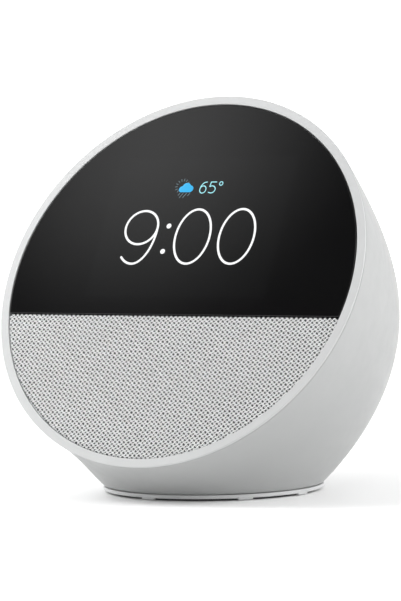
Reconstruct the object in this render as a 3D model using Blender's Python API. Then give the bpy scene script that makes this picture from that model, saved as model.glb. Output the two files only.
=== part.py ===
"""Smart display: a round tilted face with a screen and a speaker grille, on a domed housing.

Metres, +Z up. The origin is on the table under the middle of the object, the face looks
towards -Y, and the housing's dome is towards +Y. Lengths below are written in millimetres
times MM. Pieces that touch keep a gap of GAP between them.
"""

import math

import bmesh
import bpy
from mathutils import Matrix, Vector

MM = 0.001
GAP = 0.3 * MM

# Overall size
DEPTH = 103.0 * MM
HEIGHT = 110.0 * MM

# The face: a flat disc, tilted back, held by the bezel ring
FACE_TILT = math.radians(28.0)
RING_RADIUS = 56.5 * MM
RING_INNER_RADIUS = 54.0 * MM
RING_EDGE = 0.3 * MM
FACE_Y = -DEPTH / 2 + (RING_RADIUS - RING_EDGE) * math.sin(FACE_TILT)
FACE_Z = HEIGHT - RING_RADIUS * math.cos(FACE_TILT) + RING_EDGE * math.sin(FACE_TILT)
FACE_PARTING = -11.5 * MM
GLASS_TOP = -0.05 * MM
GLASS_THICKNESS = 1.8 * MM
CLOTH_TOP = -0.1 * MM
CLOTH_THICKNESS = 0.4 * MM
LEDGE_DEPTH = 2.2 * MM
LEDGE_RADIUS = 51.0 * MM
SKIRT_DEPTH = 3.6 * MM
SKIRT_TOP_RADIUS = 54.7 * MM
SKIRT_END_RADIUS = 53.7 * MM
RING_BOSS_CIRCLE = 48.5 * MM
RING_BOSS_ANGLES = (0.0, 180.0, 222.0, 318.0)
RING_BOSS_RADIUS = 3.0 * MM
RING_BOSS_DEPTH = 7.8 * MM

# The housing: a curved wall from the ring's circle to the base's circle
SHELL_SET_BACK = 0.8 * MM
SHELL_RIM_WALL = 1.2 * MM
SHELL_WALL = 2.0 * MM
BASE_CENTRE_Y = FACE_Y + 17.4 * MM
BASE_EDGE_RADIUS = 30.8 * MM
BASE_EDGE_Z = 1.9 * MM
FRONT_PULL = 3.0 * MM
DOME_PULL_TOP = 64.4 * MM
DOME_PULL_BASE = 69.6 * MM
DOME_SPREAD_TOP = 1.52
DOME_SPREAD_BASE = 1.69
RING_TAPER_FRONT = -0.18
RING_TAPER_BACK = -0.13
BASE_FLARE_FRONT = 0.672
BASE_FLARE_BACK = 0.815
SHELL_AROUND = 56
SHELL_ALONG = 16

# The base
LIP_RADIUS = 31.0 * MM
LIP_BOTTOM = 0.55 * MM
LIP_TOP = 1.6 * MM
CAP_RADIUS = 29.9 * MM
CAP_TOP = 2.9 * MM
PAD_RADIUS = 29.4 * MM
PAD_THICKNESS = 0.8 * MM
FLANGE_TOP = 5.6 * MM
FLANGE_RADIUS = 22.0 * MM
WEIGHT_RADIUS = 27.0 * MM
WEIGHT_TOP = 7.6 * MM
BASE_SCREW_CIRCLE = 26.0 * MM
TAB_ANGLES = (-95.5, -43.5, -7.0, 84.5, 136.5, 173.0)
TAB_SIZE = (1.1 * MM, 4.2 * MM)
TAB_CIRCLE = 30.35 * MM

# The screen
SCREEN_V = 15.5 * MM
SCREEN_SIZE = (63.0 * MM, 48.0 * MM)
PANEL_THICKNESS = 2.0 * MM
PANEL_CENTRE = -3.2 * MM
BACKLIGHT_THICKNESS = 2.2 * MM
BACKLIGHT_CENTRE = -5.6 * MM
TRAY_SIZE = (66.0 * MM, 49.0 * MM, 0.8 * MM)
TRAY_CENTRE = -7.4 * MM

# The plate behind the screen, which carries the speaker and the main board
CHASSIS_RADIUS = 51.5 * MM
CHASSIS_FRONT = -8.1 * MM
CHASSIS_BACK = -9.9 * MM
POST_RADIUS = 2.4 * MM
POST_END = -13.2 * MM

# The speaker, in the lower part of the face
SPEAKER_V = -29.9 * MM
SPEAKER_RADIUS = 20.5 * MM
CONE_RADIUS = 16.2 * MM
EAR_CIRCLE = 22.9 * MM
EAR_RADIUS = 2.6 * MM
BASKET_FRONT = -6.6 * MM
BASKET_FLANGE_BACK = -7.8 * MM
GRILLE_FRONT = -0.8 * MM
GRILLE_BACK = -1.9 * MM
GRILLE_PITCH = 7.2 * MM
GRILLE_HOLE_RADIUS = 2.7 * MM

# The main board, behind the screen
BOARD_V = 17.0 * MM
BOARD_SIZE = (64.0 * MM, 40.0 * MM)
BOARD_SCREWS = (28.0 * MM, 16.0 * MM)
BOARD_FRONT = -13.5 * MM
BOARD_BACK = -15.1 * MM
CHIP_CENTRE = (-6.0 * MM, 18.0 * MM)

# The controls, on the dome behind the top of the ring
BUTTON_ALONG = 0.14
BUTTON_ANGLE = 19.0
MIC_ANGLE = 9.5
BUTTON_RADIUS = 5.0 * MM
BUTTON_PROUD = 0.7 * MM
BUTTON_NAMES = ("volume_up", "mic_off", "volume_down")
SWITCH_TOP = 5.8 * MM
MIC_HOLE_RADIUS = 0.6 * MM

# The power inlet, low on the back
INLET_ALONG = 0.82
INLET_RADIUS = 6.3 * MM

SCREW_RADIUS = 1.0 * MM
SCREW_HOLE = SCREW_RADIUS + GAP

FACE_OUT = Vector((0.0, -math.cos(FACE_TILT), math.sin(FACE_TILT)))
FACE_UP = Vector((0.0, math.sin(FACE_TILT), math.cos(FACE_TILT)))
FACE_CENTRE = Vector((0.0, FACE_Y, FACE_Z))
BASE_CENTRE = Vector((0.0, BASE_CENTRE_Y, 0.0))
ALONG_X = Vector((1.0, 0.0, 0.0))
ALONG_Z = Vector((0.0, 0.0, 1.0))


# ---------------------------------------------------------------- scene and materials

def clear_scene():
    """Removes every object of the scene."""
    for item in list(bpy.data.objects):
        bpy.data.objects.remove(item, do_unlink=True)


def material(name, colour, roughness, metallic=0.0):
    """One Principled material for one part."""
    made = bpy.data.materials.new(name)
    made.use_nodes = True
    shader = made.node_tree.nodes["Principled BSDF"]
    shader.inputs["Base Color"].default_value = (*colour, 1.0)
    shader.inputs["Roughness"].default_value = roughness
    shader.inputs["Metallic"].default_value = metallic
    return made


SHELL_WHITE = ((0.78, 0.79, 0.79), 0.45, 0.0)
RING_WHITE = ((0.84, 0.85, 0.85), 0.4, 0.0)
BLACK_GLASS = ((0.01, 0.01, 0.012), 0.06, 0.0)
CLOTH_GREY = ((0.62, 0.63, 0.63), 0.9, 0.0)
DARK_PLASTIC = ((0.04, 0.04, 0.045), 0.5, 0.0)
GREY_PLASTIC = ((0.35, 0.36, 0.37), 0.5, 0.0)
RUBBER_DARK = ((0.03, 0.03, 0.03), 0.8, 0.0)
FOAM_DARK = ((0.05, 0.05, 0.05), 0.95, 0.0)
STEEL = ((0.55, 0.55, 0.56), 0.35, 1.0)
ALUMINIUM = ((0.75, 0.75, 0.76), 0.3, 1.0)
COPPER = ((0.72, 0.42, 0.25), 0.35, 1.0)
BOARD_GREEN = ((0.02, 0.12, 0.07), 0.5, 0.0)
FLEX_AMBER = ((0.45, 0.2, 0.03), 0.4, 0.0)
PAPER_CONE = ((0.08, 0.08, 0.085), 0.8, 0.0)
FERRITE = ((0.07, 0.07, 0.075), 0.6, 0.0)


def empty(name, matrix):
    """A frame that pieces are placed in."""
    frame = bpy.data.objects.new(name, None)
    bpy.context.scene.collection.objects.link(frame)
    frame.matrix_world = matrix
    return frame


def add_object(name, build, finish, frame=None, offset=(0.0, 0.0, 0.0)):
    """Makes an object from a bmesh, with its own material, placed in a frame."""
    bmesh.ops.recalc_face_normals(build, faces=build.faces)
    mesh = bpy.data.meshes.new(name)
    build.to_mesh(mesh)
    build.free()
    mesh.shade_smooth()
    mesh.set_sharp_from_angle(angle=math.radians(35))
    made = bpy.data.objects.new(name, mesh)
    bpy.context.scene.collection.objects.link(made)
    if finish is not None:
        made.data.materials.append(material(name, *finish))
    made.parent = frame
    made.location = offset
    return made


def boolean(target, tool, operation):
    """Cuts a tool from a target, or joins it on, and keeps the tool as a guide."""
    tool.hide_render = True
    tool.display_type = "WIRE"
    change = target.modifiers.new(operation.lower(), "BOOLEAN")
    change.operation = operation
    change.solver = "EXACT"
    change.object = tool


# ---------------------------------------------------------------- shapes

def bridge(build, rings, closed):
    """Joins each ring of vertices to the next, and the last to the first if closed."""
    pairs = list(zip(rings, rings[1:]))
    if closed:
        pairs.append((rings[-1], rings[0]))
    for one, two in pairs:
        if len(one) == 1 and len(two) == 1:
            continue
        count = max(len(one), len(two))
        for i in range(count):
            j = (i + 1) % count
            if len(one) == 1:
                build.faces.new((one[0], two[j], two[i]))
            elif len(two) == 1:
                build.faces.new((one[i], one[j], two[0]))
            else:
                build.faces.new((one[i], one[j], two[j], two[i]))


def turned_mesh(build, profile, segments, centre=(0.0, 0.0)):
    """Turns a closed profile of (radius, z) about the local Z axis at a centre."""
    rings = []
    for radius, z in profile:
        if radius < 1e-9:
            rings.append([build.verts.new((centre[0], centre[1], z))])
            continue
        ring = []
        for i in range(segments):
            angle = math.tau * i / segments
            x = centre[0] + radius * math.cos(angle)
            y = centre[1] + radius * math.sin(angle)
            ring.append(build.verts.new((x, y, z)))
        rings.append(ring)
    bridge(build, rings, True)


def turned(name, profile, segments, finish, frame=None, offset=(0.0, 0.0, 0.0)):
    """A turned solid. A profile on the axis starts and ends there."""
    build = bmesh.new()
    turned_mesh(build, profile, segments)
    return add_object(name, build, finish, frame, offset)


def cylinders(name, places, radius, low, high, segments, frame):
    """Several equal cylinders along local Z, as one guide object."""
    build = bmesh.new()
    for place in places:
        turned_mesh(build, [(0.0, low), (radius, low), (radius, high), (0.0, high)], segments, place)
    return add_object(name, build, None, frame)


def extrude_outline(build, outline, low, high):
    """A flat outline of (x, y) given a thickness along local Z."""
    bottom = [build.verts.new((x, y, low)) for x, y in outline]
    top = [build.verts.new((x, y, high)) for x, y in outline]
    build.faces.new(reversed(bottom))
    build.faces.new(top)
    bridge(build, [bottom, top], False)


def plate(name, outline, low, high, finish, frame=None, offset=(0.0, 0.0, 0.0)):
    """A flat plate of any outline."""
    build = bmesh.new()
    extrude_outline(build, outline, low, high)
    return add_object(name, build, finish, frame, offset)


def rounded_rectangle(width, height, corner, centre=(0.0, 0.0), steps=3):
    """The outline of a rectangle with round corners, anticlockwise."""
    outline = []
    for turn, (side_x, side_y) in enumerate(((1, 1), (-1, 1), (-1, -1), (1, -1))):
        for step in range(steps + 1):
            angle = math.pi / 2 * (turn + step / steps)
            x = centre[0] + side_x * (width / 2 - corner) + corner * math.cos(angle)
            y = centre[1] + side_y * (height / 2 - corner) + corner * math.sin(angle)
            outline.append((x, y))
    return outline


def block(name, size, centre, finish, frame=None, corner=0.4 * MM, offset=(0.0, 0.0, 0.0)):
    """A rectangular block with round corners in plan. centre is (x, y, z)."""
    outline = rounded_rectangle(size[0], size[1], corner, centre[:2])
    low = centre[2] - size[2] / 2
    return plate(name, outline, low, low + size[2], finish, frame, offset)


def disc_segment(radius, chord, upper, corner, steps=40):
    """A disc's part above or below a chord, with round corners where the two meet."""
    side = 1.0 if upper else -1.0
    level = chord * side
    reach = math.sqrt((radius - corner) ** 2 - (level + corner) ** 2)
    corner_angle = math.atan2(level + corner, reach)
    outline = []
    for step in range(steps + 1):
        angle = corner_angle + (math.pi - 2 * corner_angle) * step / steps
        outline.append((radius * math.cos(angle), side * radius * math.sin(angle)))
    for centre_x, start, end in ((-reach, math.pi - corner_angle, 1.5 * math.pi),
                                 (reach, 1.5 * math.pi, math.tau + corner_angle)):
        for step in range(5):
            if (centre_x < 0 and step == 0) or (centre_x > 0 and step == 4):
                continue
            angle = start + (end - start) * step / 4
            x = centre_x + corner * math.cos(angle)
            y = level + corner + corner * math.sin(angle)
            outline.append((x, side * y))
    if not upper:
        outline.reverse()
    return outline


def ribbon(name, path, thickness, low_x, high_x, finish):
    """A flat cable: a path of (y, z) with a thickness, and a width along X."""
    left, right = [], []
    for i, (y, z) in enumerate(path):
        before = Vector(path[max(i - 1, 0)])
        after = Vector(path[min(i + 1, len(path) - 1)])
        along = (after - before).normalized()
        side = Vector((-along.y, along.x)) * thickness / 2
        left.append((y + side.x, z + side.y))
        right.append((y - side.x, z - side.y))
    build = bmesh.new()
    outline = left + right[::-1]
    near = [build.verts.new((low_x, y, z)) for y, z in outline]
    far = [build.verts.new((high_x, y, z)) for y, z in outline]
    count = len(path)
    bridge(build, [near, far], False)
    for side in (near, far):
        for i in range(count - 1):
            build.faces.new((side[i], side[i + 1], side[-i - 2], side[-i - 1]))
    return add_object(name, build, finish)


def screw(name, place, head_low, head_high, tip, finish, frame):
    """A pan-head screw along local Z with a round drive recess. head_high is the outer end."""
    out = 1.0 if head_high > tip else -1.0
    recess = head_high - out * 0.5 * MM
    profile = [
        (0.0, recess), (0.8 * MM, head_high), (1.9 * MM, head_high), (1.9 * MM, head_low),
        (SCREW_RADIUS, head_low), (SCREW_RADIUS, tip + out * 0.8 * MM), (0.0, tip),
    ]
    return turned(name, profile, 8, finish, frame, (place[0], place[1], 0.0))


# ---------------------------------------------------------------- the dome's surface

def dome_point(angle, along):
    """A point of the outer surface. angle runs round the ring, 90 degrees at the top and back,
    and along runs from the ring (0) to the base (1) on a cubic curve."""
    back = (1 + math.sin(angle)) / 2
    out = ALONG_X * math.cos(angle) + FACE_UP * math.sin(angle)
    start = FACE_CENTRE + out * RING_RADIUS - FACE_OUT * SHELL_SET_BACK
    taper = RING_TAPER_FRONT + (RING_TAPER_BACK - RING_TAPER_FRONT) * back
    pull = FRONT_PULL + (DOME_PULL_TOP - FRONT_PULL) * back ** DOME_SPREAD_TOP
    start_handle = start + (out * math.sin(taper) - FACE_OUT * math.cos(taper)) * pull
    level = Vector((math.cos(angle), math.sin(angle), 0.0))
    end = BASE_CENTRE + ALONG_Z * BASE_EDGE_Z + level * BASE_EDGE_RADIUS
    flare = BASE_FLARE_FRONT + (BASE_FLARE_BACK - BASE_FLARE_FRONT) * back
    pull = FRONT_PULL + (DOME_PULL_BASE - FRONT_PULL) * back ** DOME_SPREAD_BASE
    end_handle = end + (level * math.cos(flare) + ALONG_Z * math.sin(flare)) * pull
    rest = 1 - along
    return (start * rest ** 3 + start_handle * 3 * rest ** 2 * along
            + end_handle * 3 * rest * along ** 2 + end * along ** 3)


def dome_normal(angle, along):
    """The outward normal of the dome's surface."""
    step = 1e-3
    centre = min(max(along, step), 1 - step)
    around = dome_point(angle + step, centre) - dome_point(angle - step, centre)
    down = dome_point(angle, centre + step) - dome_point(angle, centre - step)
    return down.cross(around).normalized()


def inner_point(angle, along):
    """The inner surface: thin where the ring's skirt goes in, thicker behind it, with a flat rim."""
    point = dome_point(angle, along)
    behind = (FACE_CENTRE - point).dot(FACE_OUT)
    grow = min(max((behind - 5 * MM) / (4 * MM), 0.0), 1.0)
    grow = grow * grow * (3 - 2 * grow)
    wall = SHELL_RIM_WALL + (SHELL_WALL - SHELL_RIM_WALL) * grow
    normal = dome_normal(angle, along)
    level = max(1 - (behind - SHELL_SET_BACK) / (4 * MM), 0.0)
    inward = normal - FACE_OUT * normal.dot(FACE_OUT) * level
    return point - inward.normalized() * wall


def along_at_floor(angle):
    """Where the inner surface meets the top of the base flange."""
    low, high = 0.3, 1.0
    for _ in range(30):
        middle = (low + high) / 2
        if inner_point(angle, middle).z > FLANGE_TOP:
            low = middle
        else:
            high = middle
    return low


def dome_frame(angle, along):
    """A frame on the dome's surface: local Z out of it, local X level, for buttons and the inlet."""
    z_axis = dome_normal(angle, along)
    y_axis = (ALONG_Z - z_axis * z_axis.z).normalized()
    x_axis = y_axis.cross(z_axis)
    matrix = Matrix((x_axis, y_axis, z_axis)).transposed().to_4x4()
    matrix.translation = dome_point(angle, along)
    return matrix


def dome_patch(name, angles, alongs, depths, finish, cells=(10, 3)):
    """A curved plate that follows the dome at a depth below its surface."""
    build = bmesh.new()
    layers = []
    for depth in depths:
        rows = []
        for j in range(cells[1] + 1):
            along = alongs[0] + (alongs[1] - alongs[0]) * j / cells[1]
            row = []
            for i in range(cells[0] + 1):
                angle = math.radians(angles[0] + (angles[1] - angles[0]) * i / cells[0])
                point = dome_point(angle, along) - dome_normal(angle, along) * depth
                row.append(build.verts.new(point))
            rows.append(row)
        layers.append(rows)
        for row, following in zip(rows, rows[1:]):
            for i in range(cells[0]):
                build.faces.new((row[i], row[i + 1], following[i + 1], following[i]))
    edges = []
    for rows in layers:
        edge = rows[0] + [row[-1] for row in rows[1:]]
        edge += rows[-1][-2::-1] + [row[0] for row in rows[-2:0:-1]]
        edges.append(edge)
    bridge(build, edges, False)
    return add_object(name, build, finish)


# ---------------------------------------------------------------- housing and base

def make_shell(button_frames, mic_frames, inlet_frame):
    """The one-piece housing, with holes for the buttons, the microphones and the inlet."""
    angles = [math.tau * i / SHELL_AROUND for i in range(SHELL_AROUND)]
    build = bmesh.new()
    rings = []
    for j in range(SHELL_ALONG + 1):
        rings.append([build.verts.new(dome_point(a, j / SHELL_ALONG)) for a in angles])
    foot = CAP_RADIUS + GAP
    for radius, z in ((foot, BASE_EDGE_Z), (foot, CAP_TOP + GAP),
                      (FLANGE_RADIUS, CAP_TOP + GAP), (FLANGE_RADIUS, FLANGE_TOP)):
        ring = []
        for a in angles:
            level = Vector((math.cos(a), math.sin(a), 0.0))
            ring.append(build.verts.new(BASE_CENTRE + level * radius + ALONG_Z * z))
        rings.append(ring)
    floors = [along_at_floor(a) for a in angles]
    inner_along = SHELL_ALONG - 4
    for j in range(inner_along, -1, -1):
        ring = []
        for a, floor in zip(angles, floors):
            ring.append(build.verts.new(inner_point(a, floor * j / inner_along)))
        rings.append(ring)
    bridge(build, rings, True)
    shell = add_object("rear_shell", build, SHELL_WHITE)

    for i, frame in enumerate(button_frames):
        hole = cylinders(f"button_hole_{i}", [(0, 0)], BUTTON_RADIUS + GAP, -6 * MM, 4 * MM, 20, frame)
        boolean(shell, hole, "DIFFERENCE")
    for i, frame in enumerate(mic_frames):
        hole = cylinders(f"mic_hole_{i}", [(0, 0)], MIC_HOLE_RADIUS, -4 * MM, 2 * MM, 8, frame)
        boolean(shell, hole, "DIFFERENCE")
    hole = cylinders("inlet_hole", [(0, 0)], INLET_RADIUS, -8 * MM, 6 * MM, 24, inlet_frame)
    boolean(shell, hole, "DIFFERENCE")
    places = base_screw_places()
    base = empty("base_frame", Matrix.Translation(BASE_CENTRE))
    hole = cylinders("flange_holes", places, SCREW_HOLE, CAP_TOP, FLANGE_TOP + 1 * MM, 8, base)
    boolean(shell, hole, "DIFFERENCE")
    return base


def base_screw_places():
    """The three base screws, on a circle round the base's centre."""
    places = []
    for i in range(3):
        angle = math.radians(90 + 120 * i)
        places.append((BASE_SCREW_CIRCLE * math.cos(angle), BASE_SCREW_CIRCLE * math.sin(angle)))
    return places


def make_base(base):
    """The base cap with its lip and tabs, the rubber pad, the ballast and the screws."""
    recess = PAD_THICKNESS + GAP
    lip_inner = PAD_RADIUS + GAP
    cap = turned("base_cap", [
        (0.0, recess), (lip_inner, recess), (lip_inner, LIP_BOTTOM),
        (LIP_RADIUS, LIP_BOTTOM), (LIP_RADIUS, LIP_TOP),
        (CAP_RADIUS, LIP_TOP), (CAP_RADIUS, CAP_TOP), (0.0, CAP_TOP),
    ], 64, RING_WHITE, base)
    build = bmesh.new()
    for degrees in TAB_ANGLES:
        angle = math.radians(degrees)
        turn = Matrix.Rotation(angle, 4, "Z")
        outline = rounded_rectangle(*TAB_SIZE, 0.3 * MM, (TAB_CIRCLE, 0.0), 1)
        before = len(build.verts)
        extrude_outline(build, outline, 0.1 * MM, 0.9 * MM)
        build.verts.ensure_lookup_table()
        bmesh.ops.transform(build, matrix=turn, verts=build.verts[before:])
    tabs = add_object("cap_tabs", build, None, base)
    boolean(cap, tabs, "UNION")
    places = base_screw_places()
    pockets = cylinders("head_pockets", places, 2.4 * MM, 0.5 * MM, 2.0 * MM, 10, base)
    boolean(cap, pockets, "DIFFERENCE")
    holes = cylinders("cap_holes", places, SCREW_HOLE, 1.5 * MM, 3.5 * MM, 8, base)
    boolean(cap, holes, "DIFFERENCE")

    turned("foot_pad", [
        (0.0, 0.0), (PAD_RADIUS, 0.0), (PAD_RADIUS, PAD_THICKNESS), (0.0, PAD_THICKNESS),
    ], 48, RUBBER_DARK, base)
    turned("base_weight", [
        (0.0, CAP_TOP + GAP), (FLANGE_RADIUS - 0.5 * MM, CAP_TOP + GAP),
        (FLANGE_RADIUS - 0.5 * MM, FLANGE_TOP + GAP), (WEIGHT_RADIUS, FLANGE_TOP + GAP),
        (WEIGHT_RADIUS, WEIGHT_TOP), (0.0, WEIGHT_TOP),
    ], 32, STEEL, base)
    for i, place in enumerate(places):
        screw(f"base_screw_{i + 1}", place, 1.7 * MM, 1.15 * MM, 5.2 * MM, STEEL, base)


# ---------------------------------------------------------------- the face

def ring_boss_places():
    """The four bosses behind the ring's ledge that the chassis screws into."""
    places = []
    for degrees in RING_BOSS_ANGLES:
        angle = math.radians(degrees)
        places.append((RING_BOSS_CIRCLE * math.cos(angle), RING_BOSS_CIRCLE * math.sin(angle)))
    return places


def make_ring(face):
    """The bezel ring: a flat front band, a skirt inside the shell's rim and a ledge behind."""
    inner = RING_INNER_RADIUS
    outer = RING_RADIUS
    ring = turned("bezel_ring", [
        (inner, -0.15 * MM), (inner + 0.15 * MM, 0.0), (outer - RING_EDGE, 0.0),
        (outer, -RING_EDGE), (outer, GAP - SHELL_SET_BACK),
        (SKIRT_TOP_RADIUS, GAP - SHELL_SET_BACK), (SKIRT_TOP_RADIUS - 0.1 * MM, -1.2 * MM),
        (SKIRT_END_RADIUS, -SKIRT_DEPTH), (LEDGE_RADIUS, -SKIRT_DEPTH),
        (LEDGE_RADIUS, -LEDGE_DEPTH), (inner, -LEDGE_DEPTH),
    ], 64, RING_WHITE, face)
    places = ring_boss_places()
    bosses = cylinders("ring_bosses", places, RING_BOSS_RADIUS, -RING_BOSS_DEPTH, -2.5 * MM, 10, face)
    boolean(ring, bosses, "UNION")
    bores = cylinders("boss_bores", places, SCREW_HOLE, -9.0 * MM, -3.4 * MM, 8, face)
    boolean(ring, bores, "DIFFERENCE")


def make_face_plates(face):
    """The glass, the cloth and the perforated plate behind the cloth."""
    radius = RING_INNER_RADIUS - GAP
    glass_edge = FACE_PARTING + 0.15 * MM
    cloth_edge = FACE_PARTING - 0.35 * MM
    glass = disc_segment(radius, glass_edge, True, 0.5 * MM, 48)
    plate("cover_glass", glass, GLASS_TOP - GLASS_THICKNESS, GLASS_TOP, BLACK_GLASS, face)
    cloth = disc_segment(radius, cloth_edge, False, 1.5 * MM, 32)
    plate("grille_cloth", cloth, CLOTH_TOP - CLOTH_THICKNESS, CLOTH_TOP, CLOTH_GREY, face)
    frame = plate("grille_frame", cloth, GRILLE_BACK, GRILLE_FRONT, DARK_PLASTIC, face)
    holes = []
    for row in range(-4, 5):
        for column in range(-8, 9):
            x = (column + (row % 2) / 2) * GRILLE_PITCH
            v = SPEAKER_V + row * GRILLE_PITCH * math.sqrt(3) / 2
            if math.hypot(x, v - SPEAKER_V) < SPEAKER_RADIUS - 3.5 * MM:
                holes.append((x, v))
    cut = cylinders("grille_holes", holes, GRILLE_HOLE_RADIUS, -2.5 * MM, -0.3 * MM, 8, face)
    boolean(frame, cut, "DIFFERENCE")


def make_display(face):
    """The screen panel, its light and the tray that holds both."""
    width, height = SCREEN_SIZE
    panel = (width, height, PANEL_THICKNESS)
    block("display_panel", panel, (0.0, SCREEN_V, PANEL_CENTRE), BLACK_GLASS, face, 1.0 * MM)
    light = (width - 1 * MM, height - 1 * MM, BACKLIGHT_THICKNESS)
    block("display_backlight", light, (0.0, SCREEN_V, BACKLIGHT_CENTRE), GREY_PLASTIC, face, 1.0 * MM)
    block("display_bracket", TRAY_SIZE, (0.0, SCREEN_V, TRAY_CENTRE), STEEL, face, 3.0 * MM)


def make_chassis(face):
    """The plate that carries the speaker in front and the main board behind."""
    outline = []
    for i in range(48):
        angle = math.tau * i / 48
        outline.append((CHASSIS_RADIUS * math.cos(angle), CHASSIS_RADIUS * math.sin(angle)))
    chassis = plate("front_chassis", outline, CHASSIS_BACK, CHASSIS_FRONT, GREY_PLASTIC, face)
    posts = cylinders("board_posts", board_places(), POST_RADIUS, POST_END, -9.0 * MM, 10, face)
    boolean(chassis, posts, "UNION")
    opening = cylinders("speaker_opening", [(0.0, SPEAKER_V)], 18.8 * MM, -12 * MM, -6 * MM, 32, face)
    boolean(chassis, opening, "DIFFERENCE")
    slot = block("cable_slot", (16 * MM, 3 * MM, 8 * MM), (0.0, 44.0 * MM, -9 * MM), None, face, 1 * MM)
    boolean(chassis, slot, "DIFFERENCE")
    places = ring_boss_places() + ear_places() + board_places()
    holes = cylinders("chassis_holes", places, SCREW_HOLE, -14 * MM, -7 * MM, 8, face)
    boolean(chassis, holes, "DIFFERENCE")
    for i, place in enumerate(ring_boss_places()):
        screw(f"chassis_screw_{i + 1}", place, -10.2 * MM, -11.5 * MM, -3.9 * MM, STEEL, face)


# ---------------------------------------------------------------- the speaker

def ear_places():
    """The four screw ears of the speaker's basket, in the face's frame."""
    places = []
    for i in range(4):
        angle = math.radians(45 + 90 * i)
        places.append((EAR_CIRCLE * math.cos(angle), SPEAKER_V + EAR_CIRCLE * math.sin(angle)))
    return places


def make_speaker(face):
    """The driver, from the gasket at the front to the sealed chamber behind it."""
    at = (0.0, SPEAKER_V, 0.0)
    radius = SPEAKER_RADIUS
    turned("speaker_gasket", [
        (radius - 1.4 * MM, -2.3 * MM), (radius, -2.3 * MM),
        (radius, -6.3 * MM), (radius - 1.4 * MM, -6.3 * MM),
    ], 32, FOAM_DARK, face, at)

    basket = turned("speaker_basket", [
        (17.8 * MM, BASKET_FRONT), (radius, BASKET_FRONT),
        (radius, BASKET_FLANGE_BACK), (18.4 * MM, BASKET_FLANGE_BACK),
        (13.6 * MM, -14.8 * MM), (7.4 * MM, -14.8 * MM), (7.4 * MM, -13.8 * MM),
        (12.9 * MM, -13.8 * MM), (17.2 * MM, -7.6 * MM),
    ], 24, STEEL, face, at)
    ears = cylinders("basket_ears", ear_places(), EAR_RADIUS, BASKET_FLANGE_BACK, BASKET_FRONT, 10, face)
    boolean(basket, ears, "UNION")
    holes = cylinders("ear_holes", ear_places(), SCREW_HOLE, -9 * MM, -5 * MM, 8, face)
    boolean(basket, holes, "DIFFERENCE")
    build = bmesh.new()
    for i in range(4):
        angle = math.pi / 2 * i
        centre = (16 * MM * math.cos(angle), SPEAKER_V + 16 * MM * math.sin(angle))
        side = (8 * MM, 12 * MM) if i % 2 == 0 else (12 * MM, 8 * MM)
        extrude_outline(build, rounded_rectangle(*side, 1.5 * MM, centre, 2), -12.8 * MM, -9.2 * MM)
    windows = add_object("basket_windows", build, None, face)
    boolean(basket, windows, "DIFFERENCE")

    turned("speaker_surround", [
        (16.5 * MM, -5.8 * MM), (16.7 * MM, -4.5 * MM), (17.6 * MM, -3.9 * MM),
        (18.5 * MM, -4.5 * MM), (18.7 * MM, -6.2 * MM), (18.1 * MM, -6.2 * MM),
        (18.0 * MM, -5.0 * MM), (17.6 * MM, -4.6 * MM), (17.1 * MM, -5.0 * MM), (17.0 * MM, -5.8 * MM),
    ], 24, RUBBER_DARK, face, at)
    turned("speaker_cone", [
        (0.0, -8.3 * MM), (4.0 * MM, -8.9 * MM), (6.6 * MM, -10.4 * MM),
        (CONE_RADIUS, -5.0 * MM), (CONE_RADIUS, -5.7 * MM), (6.6 * MM, -11.2 * MM),
        (3.8 * MM, -9.6 * MM), (0.0, -9.0 * MM),
    ], 24, PAPER_CONE, face, at)
    turned("voice_coil", [
        (5.5 * MM, -11.6 * MM), (6.1 * MM, -11.6 * MM), (6.1 * MM, -18.0 * MM), (5.5 * MM, -18.0 * MM),
    ], 20, COPPER, face, at)
    turned("speaker_spider", [
        (6.5 * MM, -12.4 * MM), (8.5 * MM, -12.0 * MM), (10.5 * MM, -12.4 * MM), (12.6 * MM, -12.0 * MM),
        (12.6 * MM, -12.5 * MM), (10.5 * MM, -12.9 * MM), (8.5 * MM, -12.5 * MM), (6.5 * MM, -12.9 * MM),
    ], 24, CLOTH_GREY, face, at)
    turned("speaker_front_plate", [
        (6.6 * MM, -15.1 * MM), (12.0 * MM, -15.1 * MM), (12.0 * MM, -16.3 * MM), (6.6 * MM, -16.3 * MM),
    ], 24, STEEL, face, at)
    turned("speaker_magnet", [
        (7.5 * MM, -16.6 * MM), (12.8 * MM, -16.6 * MM), (12.8 * MM, -19.8 * MM), (7.5 * MM, -19.8 * MM),
    ], 24, FERRITE, face, at)
    turned("speaker_yoke", [
        (0.0, -15.1 * MM), (5.0 * MM, -15.1 * MM), (5.0 * MM, -20.1 * MM), (12.2 * MM, -20.1 * MM),
        (12.2 * MM, -21.6 * MM), (0.0, -21.6 * MM),
    ], 24, STEEL, face, at)
    turned("speaker_chamber", [
        (18.7 * MM, -10.2 * MM), (20.2 * MM, -10.2 * MM), (19.2 * MM, -15.0 * MM),
        (15.0 * MM, -23.6 * MM), (0.0, -23.6 * MM), (0.0, -22.3 * MM), (14.2 * MM, -22.3 * MM),
        (17.7 * MM, -15.0 * MM),
    ], 32, DARK_PLASTIC, face, at)
    for i, place in enumerate(ear_places()):
        screw(f"speaker_screw_{i + 1}", place, -6.3 * MM, -5.0 * MM, -12.0 * MM, STEEL, face)


# ---------------------------------------------------------------- electronics

def board_places():
    """The four posts that the main board is screwed to."""
    half_x, half_v = BOARD_SCREWS
    return [(sx * half_x, BOARD_V + sv * half_v) for sx in (-1, 1) for sv in (-1, 1)]


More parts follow.
